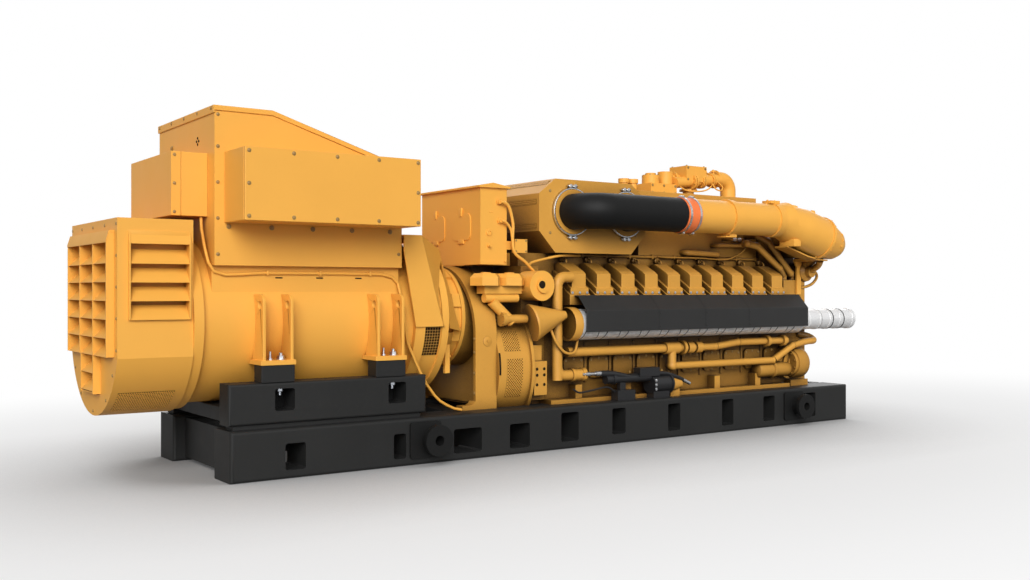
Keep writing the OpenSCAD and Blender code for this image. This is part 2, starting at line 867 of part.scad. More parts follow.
module oil_filters() {
    y = -house_y * 0.808;
    place() color(yellow) both() {
        for (x = [2195, 2425]) {
            zcyl(e0 + 985, e0 + 1048, x, y - 78, 112);
            translate([x, y - 78, e0 + 1048]) cylinder(h = 30, r1 = 112, r2 = 80);
            zcyl(e0 + 1078, e0 + 1092, x, y - 78, 40);
        }
        box(2160, 2520, y - 118, y - 0.6, e0 + 920, e0 + 986);
        xcyl(2169, 2492, y - 90, e0 + 885, 36);
        straight([2236, y - 100, e0 + 860], [2422, y - 120, e0 + 690], 42);
        ycyl(-640, -420.3, 2680, e0 + 985, 124);
        ycyl(-660, -640, 2680, e0 + 985, 60);
        ycyl(-553.7, -500.3, 2790, e0 + 700, 100);
        box(2510, 2640, -530, -460, e0 + 940, e0 + 980);
    }
}

module coolant_pipes() {
    place() color(yellow) both() {
        pipe_run([[2860, -600, e0 + 200], [2860, -600, e0 + 1058], [3008, -600, e0 + 1058]], 46, 80);
        xcyl(2960, 4270, -600, e0 + 430, 42);
        xcyl(4061, 4228, -600, e0 + 430, 56);
        xcyl(4270, 4300, -600, e0 + 430, 66);
        knee_run([
            [4300, -600, e0 + 427], [4700, -600, e0 + 427], [5000, -600, e0 + 460], [5690, -600, e0 + 460]
        ], 36);
        for (x = [4336, 4440])
            xcyl(x, x + 72, -600, e0 + 427, 54);
        for (x = [5385, 5610])
            xcyl(x, x + 40, -600, e0 + 460, 56);
        zcyl(e0 + 270, e0 + 420, 4150, -609, 40);
        translate([4150, -609, e0 + 270]) sphere(r = 48);
        knee_run([
            [4150, -616, e0 + 270], [5480, -616, e0 + 270], [5760, -616, e0 + 404], [5920, -616, e0 + 436]
        ], 34);
        for (x = [3160, 3985, 4500])
            ycyl(-600, -block_y - 0.3, x, e0 + 429, 20);
        for (x = [4265, 5360])
            ycyl(-610, -block_y - 22.3, x, e0 + 270, 18);
    }
}

module front_housing() {
    x0 = bank_x1 + 120;
    place() color(yellow) {
        box(x0, 6120, -470, 470, e0 + 35, e0 + 1050);
        both() {
            ycyl(-573, -block_y - 22.3, 5765, e0 + 240, 160);
            ycyl(-592, -572, 5765, e0 + 240, 100);
            ycyl(-612, -591, 5765, e0 + 240, 52);
        }
        both() box(x0, 6060, -560, -470, e0, e0 + 60);
    }
}

module starter_motor() {
    place() color(dark) both() {
        xcyl(start_x - 228, start_x - 18, -640, e0 + 120, 80);
        xcyl(start_x - 18, start_x, -640, e0 + 120, 90);
        xcyl(3346, start_x - 228, -640, e0 + 185, 38);
        xcyl(3420, 3450, -640, e0 + 185, 46);
        box(start_x - 218, start_x - 30, -690, -604, e0, e0 + 60);
        box(3702, 3931, -690, -600, e0 + 196, e0 + 271);
        box(3447, 3646, -690, -604, e0, e0 + 88);
        box(3500, 3560, -660, -620, e0 + 88, e0 + 160);
    }
}

// thin tube swept through a row of points with ten sides
module tube(p, r) {
    n = len(p);
    s = 10;
    ring = [for (i = [0 : n - 1])
        let (t = unit(p[min(i + 1, n - 1)] - p[max(i - 1, 0)]))
        let (h = abs(t[1]) > 0.9 ? [0, 0, 1] : [0, 1, 0])
        let (u = unit(cross(h, t)), w = cross(t, u))
        for (k = [0 : s - 1]) p[i] + r * (cos(360 * k / s) * u + sin(360 * k / s) * w)];
    sides = [for (i = [0 : n - 2]) for (k = [0 : s - 1])
        each [[i * s + k, (i + 1) * s + (k + 1) % s, i * s + (k + 1) % s],
            [i * s + k, (i + 1) * s + k, (i + 1) * s + (k + 1) % s]]];
    start = [[for (k = [0 : s - 1]) k]];
    stop = [[for (k = [s - 1 : -1 : 0]) (n - 1) * s + k]];
    polyhedron(points = ring, faces = concat(sides, start, stop));
}

module wiring_conduits() {
    yc = -548 - 11.3;
    place() color(yellow) tube([
        [-90, -440, deck_z + 336.7], [-88, -446, deck_z + 250], [-84, -500, deck_z + 120],
        [-78, yc + 4, deck_z + 20], [-40, yc, deck_z - 40], [40, yc, deck_z - 62],
        [140, yc, deck_z - 58], [300, yc, deck_z - 48], [900, yc, deck_z - 46],
        [1240, yc, deck_z - 50], [1330, yc, deck_z - 70], [1376, yc - 6, deck_z - 116],
        [1392, yc - 26, deck_z - 216], [1405, yc - 41, deck_z - 306], [1418, yc - 43, deck_z - 406],
        [1432, yc - 37, deck_z - 506], [1447, yc - 29, deck_z - 566], [1497, yc - 25, deck_z - 667],
        [1556, yc - 23, deck_z - 784], [1618, yc - 21, deck_z - 889], [1692, yc - 21, deck_z - 981],
        [1742, yc - 21, deck_z - 1026], [1800, yc - 21, rail_h + 56], [1870, yc - 21, rail_h + 25],
        [1935, yc - 21, rail_h + 11.3]
    ], 11);
}

base_rail_near();
base_rail_far();
base_cross_members();
riser_rail_near();
riser_rail_far();
lifting_posts();
alternator_blocks();
alternator_feet();
alternator_frame();
inlet_hood();
end_grille();
side_louvers();
terminal_box();
terminal_box_lid();
side_cover_near();
side_cover_far();
end_box();
outlet_hood();
drive_end_bracket();
flywheel_housing();
coupling_guard();
rear_housing();
engine_block();
oil_pan();
engine_feet();
crankcase_doors();
cylinder_heads();
valve_covers_near();
valve_covers_far();
exhaust_lagging();
exhaust_outlets();
heat_shield_near();
heat_shield_far();
valley_housing();
control_box();
control_box_lid();
air_cleaner();
intake_pipes();
intake_hoses();
intake_clamps();
intake_ducts();
intake_noses();
turbo_housing();
fuel_train();
oil_filters();
coolant_pipes();
front_housing();
starter_motor();
wiring_conduits();
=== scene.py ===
"""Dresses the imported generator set: materials, fasteners, perforated panels, trim, light and camera."""
import json
import math

import bmesh
import bpy
from mathutils import Matrix, Vector


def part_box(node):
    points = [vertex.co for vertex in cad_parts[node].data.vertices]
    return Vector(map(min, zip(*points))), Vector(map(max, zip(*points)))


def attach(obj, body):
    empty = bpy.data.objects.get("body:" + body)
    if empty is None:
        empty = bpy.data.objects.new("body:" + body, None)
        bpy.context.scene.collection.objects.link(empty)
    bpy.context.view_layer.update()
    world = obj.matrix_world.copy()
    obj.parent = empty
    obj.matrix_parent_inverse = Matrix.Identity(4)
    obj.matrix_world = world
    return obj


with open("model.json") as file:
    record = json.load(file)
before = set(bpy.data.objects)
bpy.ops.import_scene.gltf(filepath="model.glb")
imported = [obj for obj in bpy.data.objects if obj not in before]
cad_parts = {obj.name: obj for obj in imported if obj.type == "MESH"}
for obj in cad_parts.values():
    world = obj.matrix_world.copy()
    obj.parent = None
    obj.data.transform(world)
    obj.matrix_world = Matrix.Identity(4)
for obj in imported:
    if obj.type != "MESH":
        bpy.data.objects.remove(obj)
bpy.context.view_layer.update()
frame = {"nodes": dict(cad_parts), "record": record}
nodes = frame["nodes"]

# CAD lengths below are millimetres from the left end of the base rails, with the floor at zero.
# Forms that stand on both sides are given on the near side, where Y is negative.
MM = 0.001
X_MID = 2935.0
TO_FRAME = Matrix.Scale(MM, 4) @ Matrix.Translation((-X_MID, 0.0, 0.0))
LEFT = Vector((-1, 0, 0))
RIGHT = Vector((1, 0, 0))
NEAR = Vector((0, -1, 0))
FAR = Vector((0, 1, 0))
UP = Vector((0, 0, 1))
DOWN = Vector((0, 0, -1))
SIDES = (1, -1)
SIDE_WORDS = ("near", "far")
CYLINDERS = range(10)
CYLINDER_PITCH = 275


def cad(node):
    """A node's lowest and highest corners in CAD millimetres."""
    back = TO_FRAME.inverted()
    low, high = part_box(node)
    return back @ low, back @ high


# Materials, with texture scales per metre

TONE_SCALE = 1.7
SPECK_SCALE = 38.0
PATCH_SCALE = 6.0
SHELTER_SAMPLES = 8
FOIL_CELLS = 34.0
FOIL_FOLDS = 22.0


def empty_tree(owner):
    """The cleared node tree of a material or world."""
    owner.use_nodes = True
    owner.node_tree.nodes.clear()
    return owner.node_tree


def fill(tree, socket, value):
    """Links an input to another node's output, or sets it to a fixed value."""
    if isinstance(value, bpy.types.NodeSocket):
        tree.links.new(value, socket)
    else:
        socket.default_value = value


def add(tree, kind, inputs=None):
    """A new node with its inputs filled by name."""
    node = tree.nodes.new(kind)
    for name, value in (inputs or {}).items():
        fill(tree, node.inputs[name], value)
    return node


def new_material(name):
    """An empty node material with its output and a Principled shader."""
    material = bpy.data.materials.new(name)
    tree = empty_tree(material)
    shader = add(tree, "ShaderNodeBsdfPrincipled")
    add(tree, "ShaderNodeOutputMaterial", {"Surface": shader.outputs["BSDF"]})
    return material, tree, shader


def noise(tree, scale, detail=3.0, roughness=0.55, stretch=None):
    """A noise texture in object coordinates."""
    source = add(tree, "ShaderNodeTexCoord").outputs["Object"]
    if stretch:
        source = add(tree, "ShaderNodeMapping", {"Vector": source, "Scale": stretch}).outputs["Vector"]
    inputs = {"Vector": source, "Scale": scale, "Detail": detail, "Roughness": roughness}
    return add(tree, "ShaderNodeTexNoise", inputs).outputs["Fac"]


def ramp(tree, source, stops):
    """A colour ramp over a grey value, stops as (place, colour)."""
    node = add(tree, "ShaderNodeValToRGB", {"Fac": source})
    elements = node.color_ramp.elements
    while len(elements) < len(stops):
        elements.new(0.5)
    for element, (place, colour) in zip(elements, stops):
        element.position = place
        element.color = (*colour, 1.0)
    return node.outputs["Color"]


def spread(tree, source, low, high):
    """A grey value mapped from 0..1 to low..high."""
    return add(tree, "ShaderNodeMapRange", {"Value": source, "To Min": low, "To Max": high}).outputs["Result"]


def bump(tree, shader, source, distance, strength=1.0):
    """A fine relief on the shader from a grey value."""
    node = add(tree, "ShaderNodeBump", {"Height": source, "Distance": distance, "Strength": strength})
    fill(tree, shader.inputs["Normal"], node.outputs["Normal"])


def mixed(tree, factor, first, second):
    """A colour between a linked colour and a fixed one."""
    inputs = {"Fac": factor, "Color1": first, "Color2": (*second, 1.0)}
    return add(tree, "ShaderNodeMixRGB", inputs).outputs["Color"]


def maths(tree, operation, first, second):
    """A maths node over linked or fixed values."""
    node = add(tree, "ShaderNodeMath")
    node.operation = operation
    for socket, value in zip(node.inputs, (first, second)):
        fill(tree, socket, value)
    return node.outputs["Value"]


def shade(colour, factor):
    """A colour made darker or lighter."""
    return tuple(min(1.0, channel * factor) for channel in colour)


def shade_in_recesses(tree, base, distance, stops):
    """A colour that darkens where neighbours close in on the surface: painted shade in recesses."""
    shelter = add(tree, "ShaderNodeAmbientOcclusion", {"Distance": distance})
    shelter.samples = SHELTER_SAMPLES
    shade_colour = ramp(tree, shelter.outputs["AO"], stops)
    node = add(tree, "ShaderNodeMixRGB", {"Fac": 1.0, "Color1": base, "Color2": shade_colour})
    node.blend_type = "MULTIPLY"
    return node.outputs["Color"]


def paint(name, colour, rough, vary=0.06, grain=420.0, relief=0.00012, dust=None, gloss=0.5, recess_shade=None):
    """Sprayed paint: slow tone changes, faint dust, painted shade in recesses and an orange-peel relief."""
    material, tree, shader = new_material(name)
    slow = noise(tree, TONE_SCALE, 4.0)
    base = ramp(tree, slow, [(0.25, shade(colour, 1.0 - vary)), (0.75, shade(colour, 1.0 + vary))])
    if dust:
        dust_colour, dust_share = dust
        specks = noise(tree, SPECK_SCALE, 6.0, 0.7)
        mask = ramp(tree, specks, [(0.56, (0, 0, 0)), (0.74, (dust_share,) * 3)])
        base = mixed(tree, mask, base, dust_colour)
    # Painted shade where neighbours close in on the surface
    if recess_shade:
        base = shade_in_recesses(tree, base, *recess_shade)
    tree.links.new(base, shader.inputs["Base Color"])
    patch = noise(tree, PATCH_SCALE)
    tree.links.new(spread(tree, patch, rough - 0.06, rough + 0.08), shader.inputs["Roughness"])
    bump(tree, shader, noise(tree, grain, 2.0), relief)
    shader.inputs["Specular IOR Level"].default_value = gloss
    return material


def metal(name, colour, rough, grain=300.0, relief=0.0001, stretch=(1.0, 1.0, 1.0), bare=1.0):
    """Bare metal with fine scratches."""
    material, tree, shader = new_material(name)
    lines = noise(tree, grain, 3.0, stretch=stretch)
    tone = ramp(tree, lines, [(0.3, shade(colour, 0.86)), (0.7, shade(colour, 1.06))])
    tree.links.new(tone, shader.inputs["Base Color"])
    tree.links.new(spread(tree, lines, rough - 0.08, rough + 0.1), shader.inputs["Roughness"])
    bump(tree, shader, lines, relief)
    shader.inputs["Metallic"].default_value = bare
    return material


def foil(name):
    """Crinkled aluminium foil over the exhaust lagging."""
    material, tree, shader = new_material(name)
    source = add(tree, "ShaderNodeTexCoord").outputs["Object"]
    cells = add(tree, "ShaderNodeTexVoronoi", {"Vector": source, "Scale": FOIL_CELLS})
    folds = noise(tree, FOIL_FOLDS, 5.0, 0.65)
    relief = maths(tree, "ADD", cells.outputs["Distance"], folds)
    tone = ramp(tree, folds, [(0.3, (0.62, 0.62, 0.62)), (0.8, (0.95, 0.95, 0.94))])
    tree.links.new(tone, shader.inputs["Base Color"])
    tree.links.new(spread(tree, folds, 0.22, 0.48), shader.inputs["Roughness"])
    bump(tree, shader, relief, 0.006, 0.8)
    shader.inputs["Metallic"].default_value = 0.35
    return material


YELLOW = (0.88, 0.43, 0.070)
BLACK = (0.0160, 0.0162, 0.0158)
DUST = (0.05, 0.05, 0.048)
# Painted shade in recesses: the reach of the neighbours in metres, and the colours from sheltered to open
LIGHT_RECESS_SHADE = (0.25, [(0.05, (0.58, 0.48, 0.36)), (0.50, (1.0, 1.0, 1.0))])
HEAVY_RECESS_SHADE = (0.5, [(0.20, (0.055, 0.045, 0.033)), (0.78, (1.0, 1.0, 1.0))])

PAINTS = {
    "yellow_paint": dict(
        colour=YELLOW, rough=0.44, vary=0.03, dust=(shade(YELLOW, 0.8), 0.10), gloss=0.34, recess_shade=LIGHT_RECESS_SHADE,
    ),
    # A darker copy of the yellow paint for the engine castings: painted shade for the weaker light on the
    # engine
    "shaded_engine_yellow": dict(
        colour=shade(YELLOW, 0.77), rough=0.46, vary=0.08, dust=(shade(YELLOW, 0.45), 0.22), gloss=0.34,
        recess_shade=HEAVY_RECESS_SHADE,
    ),
    "engine_shadow": dict(
        colour=shade(YELLOW, 0.56), rough=0.50, vary=0.10, dust=(shade(YELLOW, 0.35), 0.25), gloss=0.30,
        recess_shade=HEAVY_RECESS_SHADE,
    ),
    "screw_dull": dict(colour=(0.34, 0.20, 0.06), rough=0.40, vary=0.25),
    "black_paint": dict(colour=BLACK, rough=0.50, vary=0.14, dust=(DUST, 0.16), gloss=0.30),
    # A darker copy of the black paint: painted shade on the lifting posts and behind the riser windows
    "black_in_shade": dict(colour=shade(BLACK, 0.5), rough=0.55, vary=0.14, gloss=0.22),
    "shield_paint": dict(
        colour=(0.023, 0.0228, 0.0224), rough=0.48, vary=0.12, dust=(DUST, 0.10), gloss=0.32,
    ),
    "pipe_black": dict(colour=(0.007, 0.007, 0.007), rough=0.54, vary=0.12, gloss=0.20),
    "starter_black": dict(colour=(0.012, 0.012, 0.013), rough=0.38, vary=0.15),
    "hose_orange": dict(colour=(0.92, 0.205, 0.052), rough=0.46, vary=0.06, grain=160.0, relief=0.0005),
    # Dark brown for holes, slots and gaps: painted shade inside them
    "hole_shade": dict(colour=(0.014, 0.009, 0.004), rough=0.75, vary=0.30, gloss=0.15),
}
METALS = {
    "clamp_steel": dict(colour=(0.72, 0.73, 0.74), rough=0.26, stretch=(0.2, 1.0, 1.0)),
    "outlet_steel": dict(colour=(0.90, 0.90, 0.90), rough=0.34, stretch=(0.1, 1.0, 1.0), bare=0.35),
    "bolt_zinc": dict(colour=(0.70, 0.74, 0.80), rough=0.30),
}
materials = {
    **{name: paint(name, **look) for name, look in PAINTS.items()},
    **{name: metal(name, **look) for name, look in METALS.items()},
    "lagging_foil": foil("lagging_foil"),
}
CAST_NODES = (
    "flywheel_housing", "coupling_guard", "rear_housing", "oil_pan", "engine_feet", "cylinder_heads",
    "valve_covers_near", "valve_covers_far", "valley_housing", "air_cleaner", "turbo_housing",
    "front_housing", "coolant_pipes",
)
# The engine castings take the shaded copy of the yellow paint, as painted shade
FINISHES = {
    **dict.fromkeys(CAST_NODES, "shaded_engine_yellow"),
    "engine_block": "engine_shadow", "crankcase_doors": "engine_shadow", "lifting_posts": "black_in_shade",
}

slots = {part["node"]: part["material_slot"] for part in frame["record"]["subparts"]}
for name, node in nodes.items():
    node.data.materials.clear()
    node.data.materials.append(materials[FINISHES.get(name, slots[name])])

# Rounded edges on the CAD pieces, by modifiers alone and in metres

EDGE_ROUND = 0.004
FINE_ROUND = 0.0012
WELD_REACH = 0.00005
BEVEL_ANGLE = math.radians(38)
SHARP_EDGED = {
    "base_rail_near", "base_rail_far", "riser_rail_near", "riser_rail_far", "wiring_conduits",
    "end_grille", "side_louvers",
}


def soften(node, width):
    """Welds a CAD mesh, rounds its edges and evens its normals."""
    weld = node.modifiers.new("weld", "WELD")
    weld.merge_threshold = WELD_REACH
    edge = node.modifiers.new("edge", "BEVEL")
    edge.width = width
    edge.segments = 2
    edge.limit_method = "ANGLE"
    edge.angle_limit = BEVEL_ANGLE
    smooth = node.modifiers.new("normals", "WEIGHTED_NORMAL")
    smooth.keep_sharp = True


for name, node in nodes.items():
    soften(node, FINE_ROUND if name in SHARP_EDGED else EDGE_ROUND)

# Mesh helpers, all in CAD millimetres

CREASE = math.radians(35)


def finish_piece(name, bm, finish):
    """Turns a mesh into a piece of the root body with its finish."""
    bmesh.ops.recalc_face_normals(bm, faces=bm.faces)
    for face in bm.faces:
        face.smooth = True
    for edge in bm.edges:
        edge.smooth = not (edge.is_manifold and edge.calc_face_angle() > CREASE)
    mesh = bpy.data.meshes.new(name)
    bm.to_mesh(mesh)
    bm.free()
    mesh.transform(TO_FRAME)
    mesh.materials.append(materials[finish])
    obj = bpy.data.objects.new(name, mesh)
    bpy.context.collection.objects.link(obj)
    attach(obj, "root")


def flip(vector, side):
    """The same vector on the near side (1) or the far side (-1)."""
    return Vector((vector[0], vector[1] * side, vector[2]))


def span(first, second, side):
    """Two Y values in rising order on one side of the middle plane."""
    return sorted((first * side, second * side))


def across(normal):
    """Two directions square to a normal, and the normal."""
    n = Vector(normal).normalized()
    u = n.orthogonal().normalized()
    return u, n.cross(u), n


def around(centre, u, v, reach, count, first):
    """Places on a circle, the first at an angle in degrees from u towards v."""
    angles = [math.radians(360 / count * k + first) for k in range(count)]
    return [Vector(centre) + (u * math.cos(a) + v * math.sin(a)) * reach for a in angles]


def ring(bm, centre, u, v, radius, sides):
    """A ring of mesh points round a centre."""
    return [bm.verts.new(spot) for spot in around(centre, u, v, radius, sides, 0.0)]


def join_rings(bm, rings, closed=False):
    """Quads between rings of points."""
    pairs = list(zip(rings, rings[1:]))
    if closed:
        pairs.append((rings[-1], rings[0]))
    for low, high in pairs:
        for k in range(len(low)):
            j = (k + 1) % len(low)
            bm.faces.new((low[k], low[j], high[j], high[k]))


def closed_rings(bm, rings):
    """A closed skin over rings of points."""
    join_rings(bm, rings)
    bm.faces.new(rings[0])
    bm.faces.new(rings[-1])


def turned(bm, centre, normal, profile, sides):
    """A closed turned solid on a surface, profile as (height, radius)."""
    u, v, n = across(normal)
    closed_rings(bm, [ring(bm, Vector(centre) + n * lift, u, v, radius, sides) for lift, radius in profile])


# Profiles of fasteners, as shares of their radius
WASHER_THICK = 0.22
WASHER = [(0.0, 1.45), (WASHER_THICK, 1.45)]
HEX_HEAD = [(0.0, 1.0), (0.62, 1.0), (0.78, 0.86)]
PAN_HEAD = [(0.0, 1.3), (0.18, 1.3), (0.19, 1.0), (0.45, 0.92), (0.62, 0.62), (0.66, 0.2)]


def scaled(profile, radius):
    """A profile of shares at its full size."""
    return [(radius * lift, radius * reach) for lift, reach in profile]


def hex_bolt(bm, centre, normal, radius):
    """A washer with a chamfered hexagon head."""
    n = Vector(normal).normalized()
    turned(bm, centre, n, scaled(WASHER, radius), 14)
    turned(bm, Vector(centre) + n * (radius * WASHER_THICK), n, scaled(HEX_HEAD, radius), 6)


def pan_screw(bm, centre, normal, radius):
    """A low domed screw head on a washer."""
    turned(bm, centre, normal, scaled(PAN_HEAD, radius), 12)


def slab(bm, low, high, chamfer=3.0):
    """A block with rounded edges."""
    low, high = Vector(low), Vector(high)
    middle = (low + high) / 2
    shape = Matrix.Translation(middle) @ Matrix.Diagonal((*(high - low), 1.0))
    made = bmesh.ops.create_cube(bm, size=1.0, matrix=shape)
    edges = list(dict.fromkeys(edge for vert in made["verts"] for edge in vert.link_edges))
    bmesh.ops.bevel(bm, geom=edges, offset=chamfer, segments=2, profile=0.6, affect="EDGES")


def side_slab(bm, side, low, high, chamfer=3.0):
    """A block of the near side, made on one side."""
    y0, y1 = span(low[1], high[1], side)
    slab(bm, (low[0], y0, low[2]), (high[0], y1, high[2]), chamfer)


def band(bm, centre, axis, inner, outer, width, sides=56):
    """A flat hoop round an axis."""
    u, v, n = across(axis)
    half = width / 2
    corners = [(-half, inner), (-half, outer), (half, outer), (half, inner)]
    rings = [ring(bm, Vector(centre) + n * lift, u, v, radius, sides) for lift, radius in corners]
    join_rings(bm, rings, closed=True)


def smooth_path(points, steps=6):
    """A smooth path through points, with Catmull-Rom pieces."""
    spots = [Vector(p) for p in points]
    spots = [spots[0] * 2 - spots[1], *spots, spots[-1] * 2 - spots[-2]]
    path = []
    for a, b, c, d in zip(spots, spots[1:], spots[2:], spots[3:]):
        for t in (k / steps for k in range(steps)):
            curve = (2 * a - 5 * b + 4 * c - d) * t**2 + (3 * b - a - 3 * c + d) * t**3
            path.append(0.5 * (2 * b + (c - a) * t + curve))
    path.append(spots[-2])
    return path


def tube(bm, points, radius, sides=12):
    """A round tube along a smooth path."""
    path = smooth_path(points)
    u = None
    rings = []
    for k, spot in enumerate(path):
        ahead = (path[min(k + 1, len(path) - 1)] - path[max(k - 1, 0)]).normalized()
        u = (ahead.orthogonal() if u is None else u - ahead * u.dot(ahead)).normalized()
        rings.append(ring(bm, spot, u, ahead.cross(u), radius, sides))
    closed_rings(bm, rings)


def side_tube(bm, side, points, radius, sides=12):
    """A tube of the near side, made on one side."""
    tube(bm, [flip(spot, side) for spot in points], radius, sides)


def bent_plate(bm, points, low, high, thick):
    """A bent plate between two Y planes, its upper face through (x, z) points."""
    edge = [(low, 0), (high, 0), (high, thick), (low, thick)]
    closed_rings(bm, [[bm.verts.new((x, y, z - drop)) for y, drop in edge] for x, z in points])


def facing(normal, places):
    """Fastener spots that all face one way."""
    return [(Vector(place), normal) for place in places]


def each_side(spots):
    """The same spots on both sides of the middle plane."""
    return [(flip(place, side), flip(normal, side)) for side in SIDES for place, normal in spots]


def scatter(name, spots, maker, radius, finish):
    """One piece with a fastener at every spot."""
    bm = bmesh.new()
    for place, normal in spots:
        maker(bm, place, normal, radius)
    finish_piece(name, bm, finish)


# Perforated sheets

SHEET_LIFT = 2.4
BACK_LIFT = 0.5
HOLE_FOOT = 0.3
BACK_STEPS = 12
SHEET_WELD = 0.05


def perforated(name, surface, length, height, pitch, hole, rise=None, square=False, finish="yellow_paint"):
    """A thin sheet with real holes laid on a surface, over a dark backing sheet that paints the shade seen
    through the holes.

    surface(u, v, lift) gives a point in millimetres, u along the length and v along the height. Round holes
    stand in staggered rows, which are rise apart or else as far apart as the holes.
    """
    sheet = bmesh.new()
    columns = max(1, round(length / pitch))
    rows = max(1, round(height / (rise or pitch)))
    wide, tall = length / columns, height / rows
    reach = hole * (math.sqrt(2) if square else 1.0)
    sides = 4 if square else 8
    for row in range(rows):
        shift = 0.5 if row % 2 and not square else 0.0
        edges = [0.0, *[(k + shift) * wide for k in range(0 if shift else 1, columns)], length]
        for u0, u1 in zip(edges, edges[1:]):
            box = (u0, u1, row * tall, (row + 1) * tall)
            whole = u1 - u0 > wide * 0.9
            cell(sheet, surface, box, reach, sides if whole else 0)
    bmesh.ops.remove_doubles(sheet, verts=sheet.verts, dist=SHEET_WELD)
    finish_piece(name, sheet, finish)
    # Dark sheet under the holes: painted shade behind the perforations
    back = bmesh.new()
    shares = [k / BACK_STEPS for k in range(BACK_STEPS + 1)]
    grid = [[back.verts.new(surface(length * s, height * t, BACK_LIFT)) for s in shares] for t in shares]
    for low, high in zip(grid, grid[1:]):
        for i in range(BACK_STEPS):
            back.faces.new((low[i], low[i + 1], high[i + 1], high[i]))
    finish_piece(name + "_shade_backing", back, "hole_shade")


def cell(bm, surface, box, reach, sides):
    """One rectangle of a perforated sheet, closed or with a hole of some sides and the hole's wall."""
    u0, u1, v0, v1 = box
    um, vm = (u0 + u1) / 2, (v0 + v1) / 2
    corners = [(u1, v1), (u0, v1), (u0, v0), (u1, v0)]
    if not sides:
        bm.faces.new([bm.verts.new(surface(u, v, SHEET_LIFT)) for u, v in corners])
        return
    if sides == 8:
        corners = [(u1, v1), (um, v1), (u0, v1), (u0, vm), (u0, v0), (um, v0), (u1, v0), (u1, vm)]
    angles = [math.pi / 4 + 2 * math.pi * k / sides for k in range(sides)]
    rim = [(um + reach * math.cos(a), vm + reach * math.sin(a)) for a in angles]
    outlines = ((corners, SHEET_LIFT), (rim, SHEET_LIFT), (rim, HOLE_FOOT))
    join_rings(bm, [[bm.verts.new(surface(u, v, lift)) for u, v in outline] for outline, lift in outlines])


def arc_surface(arc, x0, start, side):
    """A surface map on a round shell along X; the arc runs down from its start angle below level."""
    radius, middle = arc

    def surface(u, v, lift):
        angle = start + v / radius
        reach = radius + lift
        return Vector((x0 + u, -side * reach * math.cos(angle), middle - reach * math.sin(angle)))

    return surface


def plane_surface(corner, along, up):
    """A surface map on a flat panel."""
    corner, along, up = Vector(corner), Vector(along).normalized(), Vector(up).normalized()
    out = along.cross(up).normalized()

    def surface(u, v, lift):
        return corner + along * u + up * v + out * lift

    return surface


# Radius and axis height of the round shells
HOOD_ARC = (640.0, 1079.0)
DRUM_ARC = (600.0, 1079.0)
GUARD_ARC = (600.0, 660.0)
DRUM_LOOK = dict(pitch=23, hole=9.4, square=True, finish="engine_shadow")
GUARD_LOOK = dict(pitch=23, hole=5.5, rise=11.5, finish="shaded_engine_yellow")
# Name, shell, left end, upper angle, length, angle covered and look
ROUND_MESHES = (
    ("hood_mesh_", HOOD_ARC, -645, 45.5, 378, 22, dict(pitch=15, hole=5.7)),
    ("drive_end_mesh_", DRUM_ARC, 1594, 2, 140, 26, DRUM_LOOK),
    ("guard_mesh_upper_", GUARD_ARC, 2345, -30, 160, 16, GUARD_LOOK),
    ("guard_mesh_lower_", GUARD_ARC, 2358, -8, 160, 30, GUARD_LOOK),
)
CLEANER_X, CLEANER_Y, CLEANER_WIDTH = 2751, 460, 920
CLEANER_SLOPE = Vector((168, 0, 130)).normalized()
# Name, lower corner, upward direction and height
CLEANER_STRIPS = (
    ("cleaner_strip_middle", Vector((CLEANER_X, CLEANER_Y, 2018)), UP, 44),
    ("cleaner_strip_lower", Vector((CLEANER_X, CLEANER_Y, 1815)), UP, 44),
    ("cleaner_strip_upper", Vector((CLEANER_X, CLEANER_Y, 2109)) + CLEANER_SLOPE * 130, CLEANER_SLOPE, 60),
)


def perforations():
    """The perforated panels of the hood, drive end, coupling guard and air cleaner."""
    for side, word in zip(SIDES, SIDE_WORDS):
        for name, arc, x0, start, length, angle, look in ROUND_MESHES:
            surface = arc_surface(arc, x0, math.radians(start), side)
            perforated(name + word, surface, length, arc[0] * math.radians(angle), **look)
    for name, corner, up, height in CLEANER_STRIPS:
        surface = plane_surface(corner, NEAR, up)
        perforated(name, surface, CLEANER_WIDTH, height, 15, 4.6, finish="shaded_engine_yellow")


# Alternator

LID_SCREW_Y = (-565, -283, 0, 283, 565)
BOX_SCREW_Z = (2490, 2274, 2031, 1787, 1543)
BOX_CORNER_Z = 1567
BOX_BOLT_X = (46, 355, 665, 974, 1287)
COVER_SCREW_X = (43, 356, 675, 995, 1311)
COVER_INSET = 27
END_SCREW_Z = (1828, 2021, 2214)
VENT_Y, VENT_Z = -269, 2341
VENT_DIAMOND = [(0, 22), (22, 0), (0, -22), (-22, 0)]
LUG_Y, LUG_Z = 293, 2350


